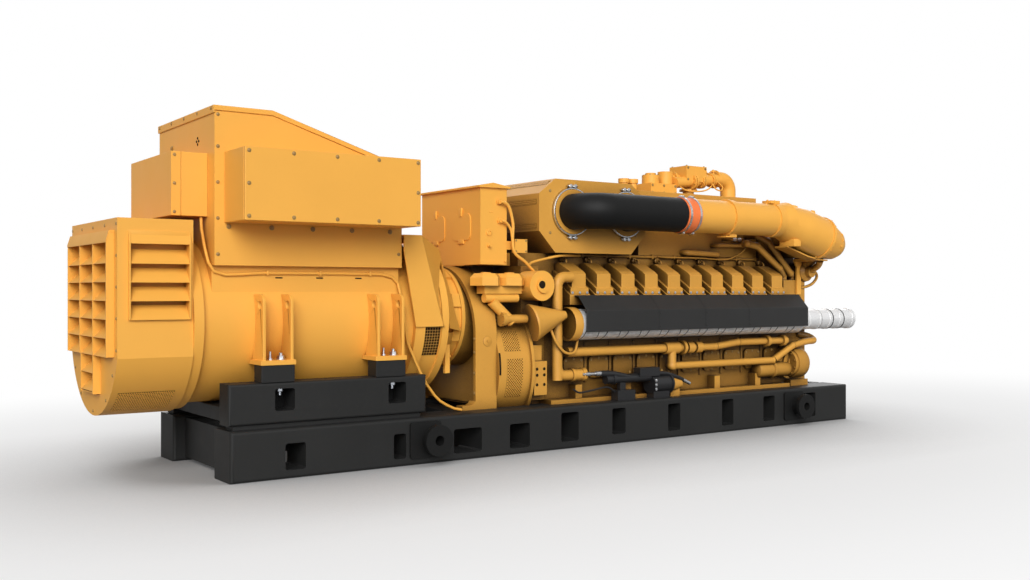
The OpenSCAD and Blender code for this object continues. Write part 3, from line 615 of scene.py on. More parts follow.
def box_fasteners():
    """Screws and bolts of the terminal box, its covers and the end box."""
    lid, box = cad("terminal_box_lid"), cad("terminal_box")
    cover, end = cad("side_cover_near"), cad("end_box")
    row = [(lid[0].x, y, lid[1].z - 18) for y in LID_SCREW_Y]
    scatter("terminal_lid_screws", facing(LEFT, row), pan_screw, 10, "screw_dull")
    column = [(box[0].x + 23, box[0].y, z) for z in BOX_SCREW_Z]
    column.append((box[1].x - 28, box[0].y, BOX_CORNER_Z))
    scatter("terminal_box_screws", each_side(facing(NEAR, column)), pan_screw, 10, "screw_dull")
    bolts = [(x, box[0].y, cover[0].z - 24) for x in BOX_BOLT_X]
    scatter("terminal_box_bolts", each_side(facing(NEAR, bolts)), hex_bolt, 12, "screw_dull")
    bottom, top = cover[0].z + COVER_INSET, cover[1].z - COVER_INSET
    rows = [(x, cover[0].y, z) for x in COVER_SCREW_X for z in (bottom, top)]
    rows += [(x, cover[0].y, (bottom + top) / 2) for x in (COVER_SCREW_X[0], COVER_SCREW_X[-1])]
    scatter("side_cover_screws", each_side(facing(NEAR, rows)), pan_screw, 11, "screw_dull")
    strip = [(end[0].x + 23, end[0].y, z) for z in END_SCREW_Z]
    scatter("end_box_screws", each_side(facing(NEAR, strip)), pan_screw, 9, "screw_dull")
    # Dark domes that paint the shade in the vents of the terminal box
    vents = [(box[0].x, VENT_Y + dy, VENT_Z + dz) for dy, dz in VENT_DIAMOND]
    scatter("terminal_box_vents", facing(LEFT, vents), pan_screw, 8, "hole_shade")
    scatter("terminal_box_lug", facing(LEFT, [(box[0].x, LUG_Y, LUG_Z)]), hex_bolt, 13, "screw_dull")


HOOD_SCREWS = [
    *[(y, 1728) for y in (-578, -300, 0, 300, 578)],
    *[(y, z) for y in (-578, 578) for z in (1522, 1319, 1115, 908)],
    (-490, 742), (-330, 567), (0, 470), (330, 567), (490, 742),
]


def hood_fasteners():
    """Screws round the end of the inlet hood."""
    x = cad("inlet_hood")[0].x
    spots = facing(LEFT, [(x, y, z) for y, z in HOOD_SCREWS])
    scatter("inlet_hood_screws", spots, pan_screw, 9, "screw_dull")


FOOT_BOLT_X = (399, 1285)
FOOT_STUD_X = (320, 1203)
# Y, Z, direction, profile and sides of the forms that make up a bolt or stud
FOOT_BOLT = (
    (-660, 817.3, UP, [(0, 34), (5, 34)], 20),
    (-660, 822.3, UP, [(0, 26), (20, 26), (24, 22)], 6),
    (-660, 846.3, UP, [(0, 14), (16, 14), (19, 11)], 16),
    (-640, 619.5, DOWN, [(0, 27), (22, 27), (24, 24)], 6),
    (-640, 595.0, DOWN, [(0, 13), (26, 13), (29, 10)], 16),
)
FOOT_STUD = (
    (-660, 817.3, UP, [(0, 16), (10, 16)], 6),
    (-660, 827.3, UP, [(0, 8), (46, 8), (49, 5)], 14),
)


def foot_bolts():
    """Plated bolts and studs that hold the alternator feet."""
    bm = bmesh.new()
    for side in SIDES:
        for places, forms in ((FOOT_BOLT_X, FOOT_BOLT), (FOOT_STUD_X, FOOT_STUD)):
            for x in places:
                for y, z, way, profile, sides in forms:
                    turned(bm, (x, y * side, z), way, profile, sides)
    finish_piece("alternator_foot_bolts", bm, "bolt_zinc")


RISER_WINDOWS = ((330, 477), (1211, 1358))


def riser_shade_plates():
    """Dark inner plates of the riser rails behind their windows: painted shade inside the rails."""
    bm = bmesh.new()
    for side in SIDES:
        for x0, x1 in RISER_WINDOWS:
            side_slab(bm, side, (x0 - 14, -528, 448), (x1 + 14, -518, 634))
    finish_piece("riser_shade_plates", bm, "black_in_shade")


DECK_SLOT_X = (432, 744, 1054)
CLIP_X = (341, 739, 1141)


def barrel_trim():
    """Thin dark slabs that paint the shade in the vent slots of the deck, and clips of the conduit."""
    vents, clips = bmesh.new(), bmesh.new()
    for side in SIDES:
        for x in DECK_SLOT_X:
            side_slab(vents, side, (x - 27, -548.8, 1381), (x + 27, -547.0, 1391), 0.8)
    for x in CLIP_X:
        slab(clips, (x - 8, -575, 1402), (x + 8, -548, 1436))
    finish_piece("deck_slots", vents, "hole_shade")
    finish_piece("conduit_clips", clips, "yellow_paint")


def louver_covers():
    """Folded covers that close the tops of the end grille and the side louvres."""
    bm = bmesh.new()
    front, top = cad("end_grille")[0].x, cad("end_grille")[1].z
    back = cad("inlet_hood")[0].x
    bent_plate(bm, [(front - 2, top - 64), (front + 18, top + 2), (back + 2, top + 3)], -522, 522, 14)
    low, high = cad("side_louvers")
    for side in SIDES:
        side_slab(bm, side, (low.x, -606, high.z - 34), (high.x, -599, high.z + 4), 1.5)
    finish_piece("louver_covers", bm, "yellow_paint")


# Engine sides

FIRST_COVER_X = 3013
PLATE_DISC = [(0, 40), (4, 40), (6, 37)]


def engine_fasteners():
    """Bolts of the valve covers, crankcase doors, mounting pads, flywheel housing and air cleaner."""
    covers, doors = [], []
    for x in (FIRST_COVER_X + CYLINDER_PITCH * i for i in CYLINDERS):
        covers += [(x + dx, -592, 1277) for dx in (18, 97, 176)]
        doors += [(x + dx, -506, z) for dx in (14, 180) for z in (575, 700)]
        doors += [(x + 97, -506, z) for z in (561, 714)]
    scatter("valve_cover_bolts", each_side(facing(NEAR, covers)), hex_bolt, 8, "bolt_zinc")
    scatter("crankcase_door_bolts", each_side(facing(NEAR, doors)), hex_bolt, 8, "screw_dull")
    # Dark domes that paint the shade in the holes of the mounting pads
    pads = [(x, -590, z) for x in (2662, 2736) for z in (521, 600, 650)]
    scatter("mount_pad_holes", each_side(facing(NEAR, pads)), pan_screw, 10, "hole_shade")
    bm = bmesh.new()
    for place, normal in each_side(facing(NEAR, [(2192, -560, 890)])):
        turned(bm, place, normal, PLATE_DISC, 32)
        hex_bolt(bm, place + normal * 6, normal, 9)
    finish_piece("timing_cover_plate", bm, "shaded_engine_yellow")
    rim = [(2080, -543, z) for z in (912, 806, 640, 480)]
    scatter("flywheel_housing_bolts", each_side(facing(LEFT, rim)), hex_bolt, 9, "screw_dull")
    cleaner = [(x, -500, z) for x in (2864, 3820) for z in (1781, 2134)]
    scatter("air_cleaner_screws", each_side(facing(NEAR, cleaner)), pan_screw, 10, "screw_dull")


EXHAUST_Y, EXHAUST_Z = -614.3, 1010
TIE_COUNT, TIE_X, TIE_PITCH = 23, 3075, 118
OUTLET_BAND_X = (6090, 6266, 6434)
MANIFOLD_CAP = [(0, 143), (74, 143), (79, 140), (79, 135), (74, 131), (50, 124), (44, 60), (43, 18)]


def exhaust_trim():
    """Ties on the lagging, bands on the outlets and the yellow end caps of the manifolds."""
    ties, bands, caps = bmesh.new(), bmesh.new(), bmesh.new()
    cap_x = cad("exhaust_lagging")[0].x + 40
    for side in SIDES:
        y = EXHAUST_Y * side
        for k in range(TIE_COUNT):
            axis = Vector((1.0, 0.0, 0.22 if k % 2 else -0.18))
            band(ties, (TIE_X + TIE_PITCH * k, y, EXHAUST_Z), axis, 129.0, 132.6, 7, 44)
        for x in OUTLET_BAND_X:
            band(bands, (x, y, EXHAUST_Z), RIGHT, 97.5, 101.5, 9)
        turned(caps, (cap_x, -606 * side, 1014), LEFT, MANIFOLD_CAP, 56)
    finish_piece("lagging_ties", ties, "black_paint")
    finish_piece("outlet_bands", bands, "black_paint")
    finish_piece("manifold_end_caps", caps, "shaded_engine_yellow")


SHIELD_PROFILE = [(-770, 950), (-770, 1130), (-650, 1257)]
SHIELD_SEAMS = (3845, 4413, 4977)
LAP_LIFT, LAP_WIDTH = 1.6, 7


def shield_seams():
    """Lapped joints of the heat shield panels, with their screws."""
    laps = bmesh.new()
    edge = [Vector((0, y - LAP_LIFT, z)) for y, z in SHIELD_PROFILE]
    edge[-1] += Vector((0, -LAP_LIFT, LAP_LIFT))
    for side in SIDES:
        for x in SHIELD_SEAMS:
            for pair in zip(edge, edge[1:]):
                corners = [spot + RIGHT * (x + shift) for shift in (0, LAP_WIDTH) for spot in pair]
                a, b, c, d = [laps.verts.new(flip(spot, side)) for spot in corners]
                laps.faces.new((a, b, d, c))
    screws = [(x + 24, -770, z) for x in SHIELD_SEAMS for z in (985, 1100)]
    finish_piece("shield_laps", laps, "black_paint")
    scatter("shield_screws", each_side(facing(NEAR, screws)), pan_screw, 7, "shield_paint")


IGNITION_RAIL = [(2960, -336, 1590), (3300, -336, 1602), (4300, -336, 1602), (5540, -336, 1600)]
FIRST_COIL_X = 3110
COIL = [(0, 26), (34, 26), (40, 18), (52, 16)]


def ignition_rail():
    """The wiring rail over the valve covers, with a coil and lead for each cylinder."""
    rail, leads = bmesh.new(), bmesh.new()
    for side in SIDES:
        side_tube(rail, side, IGNITION_RAIL, 13)
        for x in (FIRST_COIL_X + CYLINDER_PITCH * i for i in CYLINDERS):
            turned(rail, (x, -320 * side, 1566), flip(NEAR, side), COIL, 18)
            lead = [(x, -370, 1566), (x, -392, 1566), (x, -404, 1552), (x, -404, 1536)]
            side_tube(leads, side, lead, 8, 10)
            side_slab(rail, side, (x - 62, -350, 1584), (x - 40, -320, 1622))
    finish_piece("ignition_rail", rail, "shaded_engine_yellow")
    finish_piece("ignition_leads", leads, "shaded_engine_yellow")


# Radius and path of each pipe or lead
VALLEY_RUNS = (
    (20, [(4935, -322, 1722), (4946, -380, 1724), (4990, -400, 1727), (5200, -402, 1732),
          (5330, -462, 1738)]),
    (28, [(4540, -318, 1650), (4552, -374, 1649), (4610, -392, 1648), (4900, -392, 1640), (4970, -372, 1638),
          (4985, -318, 1638)]),
    (7, [(4200, -372, 1608), (4327, -400, 1600), (4711, -402, 1601), (5034, -402, 1590), (5180, -404, 1626),
         (5272, -404, 1666), (5336, -404, 1718)]),
)
VALLEY_STUBS = (
    [(5080, -325, 1790), (5110, -414, 1789), (5140, -420, 1788)],
    [(5230, -420, 1788), (5290, -412, 1790), (5320, -325, 1792)],
)
VALLEY_UNION = [(0, 14), (20, 14), (22, 19), (38, 19), (40, 12), (52, 12)]


def valley_lines():
    """Pipes and leads along the engine, between the intake ducts and the valve covers."""
    bm, fittings = bmesh.new(), bmesh.new()
    for side in SIDES:
        for radius, points in VALLEY_RUNS:
            side_tube(bm, side, points, radius, 16)
        for x in (5130, 5196):
            turned(fittings, (x, -420 * side, 1788), RIGHT, VALLEY_UNION, 12)
        for points in VALLEY_STUBS:
            side_tube(bm, side, points, 12)
    finish_piece("valley_lines", bm, "shaded_engine_yellow")
    finish_piece("valley_fittings", fittings, "bolt_zinc")


# Intake line

DUCT_Y, DUCT_Z = -750.0, 1964.0
CLAMP_X = (3090, 3691)
CLAMP_REACH = 218
T_BOLT_Y = -516
HOSE_CLAMP_X = (4111, 4227)
WORM_REACH = 164
WORM_ANGLES = (78, -82)


def clamp_bolts():
    """T-bolts on the intake clamps and worm screws on the hose clamps."""
    bm = bmesh.new()
    for side in SIDES:
        for x in CLAMP_X:
            for z in (DUCT_Z - CLAMP_REACH, DUCT_Z + CLAMP_REACH):
                for left in (x - 34, x + 12):
                    side_slab(bm, side, (left, T_BOLT_Y - 14, z - 16), (left + 22, T_BOLT_Y + 14, z + 16))
                turned(bm, (x - 52, T_BOLT_Y * side, z), RIGHT, [(0, 7), (104, 7)], 10)
                turned(bm, (x + 34, T_BOLT_Y * side, z), RIGHT, [(0, 13), (12, 13)], 6)
        for x in HOSE_CLAMP_X:
            for a in map(math.radians, WORM_ANGLES):
                out = Vector((0, -side * math.cos(a), math.sin(a)))
                place = Vector((x, DUCT_Y * side, DUCT_Z)) + out * WORM_REACH
                tangent = Vector((0, side * math.sin(a), math.cos(a)))
                turned(bm, place - tangent * 26, tangent, [(0, 11), (52, 11)], 10)
                turned(bm, place + tangent * 26, tangent, [(0, 9), (10, 9)], 6)
    finish_piece("clamp_bolts", bm, "clamp_steel")


# Lowest and highest corner and chamfer of each bracket plate
DUCT_BRACKETS = (
    ((4690, -806, 1782), (4782, -694, 1812), 4),
    ((4640, -806, 1782), (4692, -694, 1794), 3),
    ((5240, -806, 2116), (5366, -694, 2146), 4),
    ((5228, -758, 2070), (5282, -742, 2130), 4),
)


def duct_trim():
    """Rings, brackets and flange bolts of the intake ducts."""
    bm = bmesh.new()
    for side in SIDES:
        y = DUCT_Y * side
        band(bm, (4725, y, DUCT_Z), RIGHT, 147, 161, 62)
        for place in around((4672, y, DUCT_Z), flip(NEAR, side), UP, 158, 10, 18):
            hex_bolt(bm, place, LEFT, 6)
        for low, high, chamfer in DUCT_BRACKETS:
            side_slab(bm, side, low, high, chamfer)
        for x in (5254, 5350):
            hex_bolt(bm, (x, y, 2146), UP, 9)
    finish_piece("duct_fittings", bm, "yellow_paint")


NOSE_TILT = math.radians(15.5)
NOSE_AXIS = Vector((math.cos(NOSE_TILT), 0, -math.sin(NOSE_TILT)))
NOSE_UP = Vector((math.sin(NOSE_TILT), 0, math.cos(NOSE_TILT)))
NOSE_X = 5429
NOSE_PLUG_ANGLES = (-14, 8, 30)
# Place along the nose, height over its axis, profile and sides of the fittings on top
NOSE_TOPS = (
    (430, 203, [(0, 30), (16, 30), (20, 26), (34, 20), (36, 14)], 20),
    (150, 172, [(0, 42), (18, 42), (22, 38)], 24),
    (758, 156, [(0, 22), (20, 22), (24, 13), (42, 11)], 14),
)
NOSE_CAP = [(0, 66), (12, 66), (16, 34), (32, 28), (36, 18)]


def nose_fittings(bm, side):
    """Block, flange bolts, plugs and cap of one intake nose."""
    side_slab(bm, side, (5489, -872, 1716), (5587, -690, 1788), 6)
    root = Vector((NOSE_X, DUCT_Y * side, DUCT_Z))
    out = flip(NEAR, side)
    for place in around(root + NOSE_AXIS * 590, out, NOSE_UP, 211, 16, 11):
        hex_bolt(bm, place, NOSE_AXIS, 7)
    for a in map(math.radians, NOSE_PLUG_ANGLES):
        way = out * math.cos(a) + NOSE_UP * math.sin(a)
        hex_bolt(bm, root + NOSE_AXIS * 745 + way * 162, way, 11)
    for along, height, profile, sides in NOSE_TOPS:
        turned(bm, root + NOSE_AXIS * along + NOSE_UP * height, NOSE_UP, profile, sides)
    turned(bm, root + NOSE_AXIS * 858, NOSE_AXIS, NOSE_CAP, 28)


CRADLE = [(5480, 1722), (5587, 1690), (5771, 1636), (5941, 1606), (6066, 1600)]
COMPRESSOR = [(0, 70), (10, 98), (60, 106), (130, 106), (180, 96), (206, 62), (250, 56)]
FEED_PIPE = [(6070, -466, 1478), (6110, -540, 1492), (6100, -650, 1540), (6040, -735, 1596)]
THROAT = [(6112, -430, 1520), (6116, -500, 1580), (6096, -600, 1640), (6060, -690, 1700)]


def nose_cradle(bm, side):
    """Cradle, block, plate, compressor shell and pipes under one intake nose."""
    bent_plate(bm, CRADLE, *span(-800, -640, side), 14)
    side_slab(bm, side, (5880, -800, 1600), (5930, -690, 1690), 6)
    side_slab(bm, side, (5990, -470, 1545), (6290, -440, 1652), 6)
    turned(bm, (6118, -318 * side, 1484), flip(NEAR, side), COMPRESSOR, 36)
    side_tube(bm, side, FEED_PIPE, 32, 20)
    side_tube(bm, side, THROAT, 64, 28)


def nose_trim():
    """The fittings of both intake noses and the forms under them."""
    fittings, under = bmesh.new(), bmesh.new()
    for side in SIDES:
        nose_fittings(fittings, side)
        nose_cradle(under, side)
    finish_piece("nose_fittings", fittings, "yellow_paint")
    finish_piece("nose_cradles", under, "shaded_engine_yellow")


# Fuel train

FUEL_START, FUEL_STOP = Vector((4690, -75, 2338)), Vector((5330, -40, 2408))
FUEL_AXIS = (FUEL_STOP - FUEL_START).normalized()
# Place and radius of each flange
FUEL_FLANGES = ((4905, 84), (4935, 84), (5034, 76), (5062, 76), (5192, 68), (5218, 68))
FUEL_STEM_X = (5122, 5250)
FUEL_STEM = [(0, 15), (30, 15), (32, 25), (46, 25), (50, 9), (58, 9)]
FUEL_LEADS = (
    [(5150, -130, 2352), (5190, -140, 2300), (5260, -140, 2288), (5302, -120, 2330), (5240, -100, 2384)],
    [(4740, -100, 2300), (4830, -128, 2262), (5000, -132, 2268), (5100, -128, 2296), (5180, -100, 2342)],
)


def fuel_spot(x):
    """The point of the fuel pipe's axis at one X."""
    return FUEL_START + FUEL_AXIS * ((x - FUEL_START.x) / FUEL_AXIS.x)


def fuel_pipe():
    """The wide gas pipe of the fuel train, with its bolted flanges, valve stems and sensor leads."""
    bm, leads = bmesh.new(), bmesh.new()
    tube(bm, [FUEL_START, FUEL_STOP], 54, 28)
    u, v, _ = across(FUEL_AXIS)
    for x, radius in FUEL_FLANGES:
        turned(bm, fuel_spot(x), FUEL_AXIS, [(0, radius), (20, radius), (22, radius - 3)], 32)
        for place in around(fuel_spot(x), u, v, radius - 11, 8, 20):
            hex_bolt(bm, place, -FUEL_AXIS, 7)
    for x in FUEL_STEM_X:
        turned(bm, fuel_spot(x) + UP * 46, UP, FUEL_STEM, 16)
    for points in FUEL_LEADS:
        tube(leads, points, 7)
    finish_piece("fuel_pipe", bm, "yellow_paint")
    finish_piece("fuel_leads", leads, "yellow_paint")


def flange_bolts():
    """Bolts of the front pump, the valley's top flange and the fuel train."""
    pump = each_side(facing(NEAR, around((5765, -573, 590), RIGHT, UP, 138, 10, 10)))
    top = facing(UP, around((4450, 0, 2400), RIGHT, FAR, 66, 8, 0))
    lid = facing(UP, [(x, y, 2510) for x in (4832, 5064) for y in (-100, 100)])
    face = facing(NEAR, [(x, -120, z) for x in (4832, 5064) for z in (2378, 2492)])
    plate = facing(NEAR, [(x, -100, z) for x in (4386, 4533, 4680) for z in (2230, 2300)])
    scatter("flange_bolts", pump + top + lid + face + plate, hex_bolt, 9, "screw_dull")


# Engine ends

CONTROL_FACE_Y = -465
CONTROL_GLANDS = ((2361, 2016, 24), (2372, 1862, 24), (2266, 1659, 15))
CONTROL_PORT = [(0, 26), (8, 26), (10, 22), (10, 15), (4, 14)]


def control_box_trim():
    """Latches, glands and plugs of the control box."""
    bm = bmesh.new()
    for y in (-185, 218):
        slab(bm, (2170, y - 15, 1905), (2188, y + 15, 1975), 4)
        slab(bm, (2172, y - 40, 1680), (2188, y + 40, 1716), 6)
    for x, z, radius in CONTROL_GLANDS:
        turned(bm, (x, CONTROL_FACE_Y, z), NEAR, [(0, radius), (14, radius), (16, radius - 3)], 6)
        turned(bm, (x, CONTROL_FACE_Y - 16, z), NEAR, [(0, radius * 0.72), (16, radius * 0.7)], 16)
    for x in (2282, 2304):
        pan_screw(bm, (x, CONTROL_FACE_Y, 1933), NEAR, 8)
    turned(bm, (2271, CONTROL_FACE_Y, 1764), NEAR, CONTROL_PORT, 24)
    hex_bolt(bm, (2428, CONTROL_FACE_Y, 1535), NEAR, 11)
    finish_piece("control_box_fittings", bm, "yellow_paint")


def control_box_stand():
    """The stand that carries the control box over the rear housing."""
    bm = bmesh.new()
    slab(bm, (2210, -40, 1400), (2600, -10, 1530))
    slab(bm, (2210, 10, 1400), (2600, 40, 1530))
    slab(bm, (2190, -120, 1512), (2620, 120, 1530))
    finish_piece("control_box_stand", bm, "engine_shadow")


# Radius and path of each conduit
CONDUITS = (
    (13, [(2361, -497, 2016), (2394, -500, 2014), (2445, -503, 1973), (2480, -505, 1842), (2477, -505, 1709),
          (2499, -506, 1603), (2597, -512, 1533), (2688, -505, 1457)]),
    (11, [(2372, -497, 1862), (2405, -500, 1856), (2434, -503, 1831), (2462, -505, 1788),
          (2472, -505, 1730)]),
    (11, [(2640, -508, 1508), (2700, -480, 1532), (2843, -470, 1563), (3016, -460, 1592),
          (3300, -349, 1600)]),
)


def control_conduits():
    """Flexible conduits from the glands of the control box to the oil side and along the engine."""
    bm = bmesh.new()
    for radius, points in CONDUITS:
        tube(bm, points, radius)
    finish_piece("control_conduits", bm, "yellow_paint")
    cover = facing(NEAR, [(x, -500, z) for x in (2516, 2616) for z in (1618, 1706)])
    scatter("junction_box_screws", cover, pan_screw, 7, "screw_dull")


DRAIN_FUNNEL = [(0, 150), (14, 156), (28, 150), (300, 40), (322, 34), (330, 22)]
OIL_LOOP = [
    (2750, -650, 990), (2800, -668, 872), (2878, -672, 790), (2958, -664, 772), (3014, -650, 800),
    (3060, -622, 886),
]
OIL_FLANGE = [(0, 58), (22, 58), (26, 54), (44, 54), (48, 36), (250, 36)]
OIL_FLANGE_BOLTS = ((-626, 1098), (-626, 1034), (-521, 1098), (-521, 1034))
COOLANT_ELBOW = [
    (2860, -600, 720), (2860, -600, 660), (2876, -600, 612), (2920, -600, 590), (3011, -600, 588),
]
COOLANT_UNION = [(0, 56), (26, 56), (30, 50), (110, 50), (114, 57), (146, 57), (150, 30)]


def oil_side():
    """Drain funnel, hose loop and pipe flanges beside the oil filters."""
    bm = bmesh.new()
    turned(bm, (2590, -600, 1030), (317, -65, 66), DRAIN_FUNNEL, 40)
    tube(bm, OIL_LOOP, 12)
    turned(bm, (2300, -585, 1066), RIGHT, OIL_FLANGE, 32)
    for y, z in OIL_FLANGE_BOLTS:
        hex_bolt(bm, (2300, y, z), LEFT, 8)
    tube(bm, COOLANT_ELBOW, 46, 28)
    turned(bm, (3000, -600, 588), RIGHT, COOLANT_UNION, 32)
    finish_piece("oil_side_pipes", bm, "shaded_engine_yellow")


FILTER_HEAD = [(0, 131), (64, 131), (98, 98), (100, 60)]
COOLER_PORT = [(0, 32), (1.2, 32), (1.6, 20)]


def filter_heads():
    """Hexagonal heads of the oil filters, and a dark disc that paints the shade in the open port of the
    cooler.
    """
    bm, ports = bmesh.new(), bmesh.new()
    for side in SIDES:
        for x in (2195, 2425):
            turned(bm, (x, -530.5 * side, 1335), UP, FILTER_HEAD, 6)
        turned(ports, (2664, -660 * side, 1344), flip(NEAR, side), COOLER_PORT, 28)
    finish_piece("filter_heads", bm, "yellow_paint")
    finish_piece("cooler_ports", ports, "hole_shade")


SLIT_START, SLIT_WIDTH, SLIT_LIFT = -13, 17, 1.0
SLIT_STEPS = range(0, 181, 20)


def guard_gaps():
    """A dark strip that paints the shade in the slit between the flywheel housing and the coupling guard."""
    bm = bmesh.new()
    x = cad("coupling_guard")[0].x + 1
    for side in SIDES:
        surface = arc_surface(GUARD_ARC, x, math.radians(SLIT_START), side)
        rows = [[bm.verts.new(surface(u, v, SLIT_LIFT)) for u in (0, SLIT_WIDTH)] for v in SLIT_STEPS]
        for low, high in zip(rows, rows[1:]):
            bm.faces.new((low[0], low[1], high[1], high[0]))
    finish_piece("guard_gaps", bm, "hole_shade")


# Radius, sides and path of each cable
STARTER_CABLES = (
    (26, 20, [(3290, -645, 588), (3400, -648, 584), (3501, -650, 566), (3600, -650, 545), (3690, -648, 520)]),
    (19, 16, [(3900, -660, 566), (4020, -664, 560), (4142, -662, 528), (4240, -655, 494)]),
    (8, 12, [(3000, -640, 470), (3060, -650, 440), (3200, -650, 452), (3360, -650, 470), (3447, -650, 425)]),
)
STARTER_FERRULE = [(4232, -656, 496), (4268, -654, 482), (4330, -650, 456)]
STARTER_UNION = [(0, 14), (30, 14), (32, 20), (74, 20), (76, 15), (140, 15), (142, 22), (200, 22), (206, 17)]


def starter_trim():
    """Cables, fittings and strap bolts of the starter motor."""
    dark, bright = bmesh.new(), bmesh.new()
    for radius, sides, points in STARTER_CABLES:
        tube(dark, points, radius, sides)
    tube(bright, STARTER_FERRULE, 17, 14)
    turned(bright, (3094, -645, 590), RIGHT, STARTER_UNION, 16)
    for z in (432, 470, 508):
        hex_bolt(bright, (3864, -719, z), NEAR, 9)
    finish_piece("starter_cables", dark, "starter_black")
    finish_piece("starter_fittings", bright, "clamp_steel")


PUMP_Y = -560
PUMP_BODY = [(0, 40), (14, 66), (30, 74), (200, 74), (206, 86), (236, 86), (242, 74), (452, 74)]
PUMP_VOLUTE = [
    (0, 130), (10, 134), (32, 134), (36, 146), (110, 153), (180, 146), (222, 112), (236, 62), (252, 50),
]
FRONT_BEND = [
    (5890, -616, 780), (5990, -618, 792), (6066, -612, 794), (6108, -584, 804), (6096, -530, 834),
    (6010, -466, 862),
]
FRONT_LOOP = [
    (6044, -462, 1322), (6140, -478, 1336), (6236, -480, 1372), (6300, -476, 1440), (6262, -450, 1496),
    (6116, -322, 1510),
]


def front_pumps():
    """Pump bodies beside the front housing, with the bends and hoses at the engine's front end."""
    bm, pipes = bmesh.new(), bmesh.new()
    for side in SIDES:
        centre = Vector((5735, PUMP_Y * side, 580))
        turned(bm, (5290, PUMP_Y * side, 528), RIGHT, PUMP_BODY, 36)
        turned(bm, centre, RIGHT, PUMP_VOLUTE, 48)
        for place in around(centre, FAR, UP, 116, 10, 18):
            hex_bolt(bm, place, LEFT, 9)
        side_tube(pipes, side, FRONT_BEND, 34, 24)
        side_tube(pipes, side, FRONT_LOOP, 15, 14)
    finish_piece("front_pumps", bm, "engine_shadow")
    finish_piece("front_pipes", pipes, "shaded_engine_yellow")


# Floor, light and camera, in metres except for the camera's place

FLOOR_HALF = 60.0
FLOOR_BOUNCE = (0.38, 0.38, 0.38, 1.0)
FLOOR_SEEN = (0.90, 0.90, 0.90, 1.0)
# Colours of the floor's painted contact shadow, from sheltered to open
FLOOR_GLOW = [(0.42, (0.07, 0.07, 0.07)), (1.0, (0.93, 0.93, 0.93))]
GLOW_SHARE = 0.6
SHADOW_REACH = 2.2
FADE_NEAR, FADE_FAR = 2.4, 7.0
FADE_SQUEEZE = (0.62, 1.0, 1.0)
WORLD_LIGHT = 0.13
WORLD_SHINE = 0.62
# Name, direction, power and width in degrees
SUNS = (
    ("key", (-0.50, -0.74, 0.45), 2.68, 40.0),
    ("fill", (-0.25, -0.96, 0.10), 1.0, 60.0),
    ("back", (0.50, 0.78, 0.38), 1.2, 60.0),
)
CAMERA_PLACE = Vector((-2601, -7742, 1300))
FOCAL_PIXELS = 1081.0
VANISHING_PIXELS = 762.0
CAMERA_YAW = math.atan2(VANISHING_PIXELS, FOCAL_PIXELS)
IMAGE_WIDTH = 1030.0
SENSOR = 36.0


def distance_fade(tree):
    """A value that rises from 0 to 1 away from the object, slower along its length."""
    source = add(tree, "ShaderNodeTexCoord").outputs["Object"]
    squeeze = add(tree, "ShaderNodeMapping", {"Vector": source, "Scale": FADE_SQUEEZE})
    length = add(tree, "ShaderNodeVectorMath")
    length.operation = "LENGTH"
    fill(tree, length.inputs[0], squeeze.outputs["Vector"])
    inputs = {"Value": length.outputs["Value"], "From Min": FADE_NEAR, "From Max": FADE_FAR}
    fade = add(tree, "ShaderNodeMapRange", inputs)
    fade.interpolation_type = "SMOOTHSTEP"
    return fade.outputs["Result"]


def blend(tree, factor, first, second):
    """A mix of two shaders."""
    node = add(tree, "ShaderNodeMixShader")
    for socket, value in zip(node.inputs, (factor, first, second)):
        fill(tree, socket, value)
    return node.outputs["Shader"]


def diffuse(tree, colour):
    """A plain matt shader."""
    return add(tree, "ShaderNodeBsdfDiffuse", {"Color": colour}).outputs["BSDF"]


def floor_material():
    """A pale floor that fades to white away from the object, its contact shadow partly real and partly
    painted from ambient occlusion.
    """
    material = bpy.data.materials.new("floor")
    tree = empty_tree(material)
    shelter = add(tree, "ShaderNodeAmbientOcclusion", {"Distance": SHADOW_REACH})
    glow = add(tree, "ShaderNodeEmission", {"Color": ramp(tree, shelter.outputs["AO"], FLOOR_GLOW)})
    white = add(tree, "ShaderNodeEmission")
    rays = add(tree, "ShaderNodeLightPath")
    near_floor = blend(tree, GLOW_SHARE, diffuse(tree, FLOOR_SEEN), glow.outputs["Emission"])
    seen_floor = blend(tree, distance_fade(tree), near_floor, white.outputs["Emission"])
    final = blend(tree, rays.outputs["Is Camera Ray"], diffuse(tree, FLOOR_BOUNCE), seen_floor)
    add(tree, "ShaderNodeOutputMaterial", {"Surface": final})
    return material


def make_floor():
    """A wide flat floor under the rails."""
    mesh = bpy.data.meshes.new("floor")
    corners = [(x * FLOOR_HALF, y * FLOOR_HALF, 0) for x, y in ((-1, -1), (1, -1), (1, 1), (-1, 1))]
    mesh.from_pydata(corners, [], [(0, 1, 2, 3)])
    floor = bpy.data.objects.new("floor", mesh)
    bpy.context.collection.objects.link(floor)
    mesh.materials.append(floor_material())


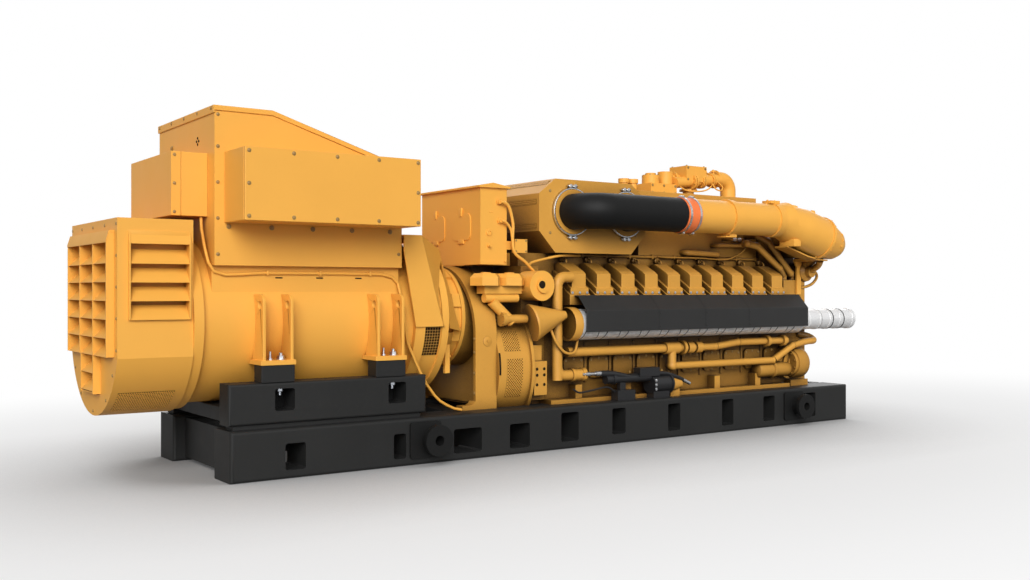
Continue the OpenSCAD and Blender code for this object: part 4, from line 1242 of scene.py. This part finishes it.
def make_world():
    """Even studio light, with a white backdrop for the camera and a softer one for reflections."""
    world = bpy.data.worlds.new("studio")
    bpy.context.scene.world = world
    tree = empty_tree(world)
    rays = add(tree, "ShaderNodeLightPath")
    straight = maths(tree, "MAXIMUM", rays.outputs["Is Camera Ray"], rays.outputs["Is Transmission Ray"])
    level = maths(tree, "MULTIPLY", straight, 1.0 - WORLD_LIGHT)
    shine = maths(tree, "MULTIPLY", rays.outputs["Is Glossy Ray"], WORLD_SHINE - WORLD_LIGHT)
    strength = maths(tree, "ADD", maths(tree, "ADD", level, shine), WORLD_LIGHT)
    light = add(tree, "ShaderNodeBackground", {"Color": (1.0, 1.0, 1.0, 1.0), "Strength": strength})
    add(tree, "ShaderNodeOutputWorld", {"Surface": light.outputs["Background"]})


def sun_light(name, towards, power, width):
    """A far, wide studio lamp in the given direction."""
    data = bpy.data.lights.new(name, "SUN")
    data.energy = power
    data.angle = math.radians(width)
    lamp = bpy.data.objects.new(name, data)
    bpy.context.collection.objects.link(lamp)
    lamp.rotation_euler = Vector(towards).to_track_quat("Z", "Y").to_euler()


def make_camera():
    """The level camera of the photograph."""
    data = bpy.data.cameras.new("camera")
    data.sensor_width = SENSOR
    data.sensor_fit = "HORIZONTAL"
    data.lens = FOCAL_PIXELS / IMAGE_WIDTH * SENSOR
    data.clip_end = 200.0
    camera = bpy.data.objects.new("camera", data)
    bpy.context.collection.objects.link(camera)
    camera.location = TO_FRAME @ CAMERA_PLACE
    camera.rotation_euler = (math.pi / 2, 0.0, -CAMERA_YAW)
    bpy.context.scene.camera = camera


make_camera()
box_fasteners()
hood_fasteners()
foot_bolts()
riser_shade_plates()
barrel_trim()
perforations()
engine_fasteners()
clamp_bolts()
exhaust_trim()
shield_seams()
control_box_trim()
control_box_stand()
ignition_rail()
duct_trim()
nose_trim()
fuel_pipe()
valley_lines()
front_pumps()
control_conduits()
oil_side()
filter_heads()
guard_gaps()
louver_covers()
starter_trim()
flange_bolts()
make_floor()
make_world()
for sun in SUNS:
    sun_light(*sun)
bpy.context.scene.view_settings.view_transform = "Standard"
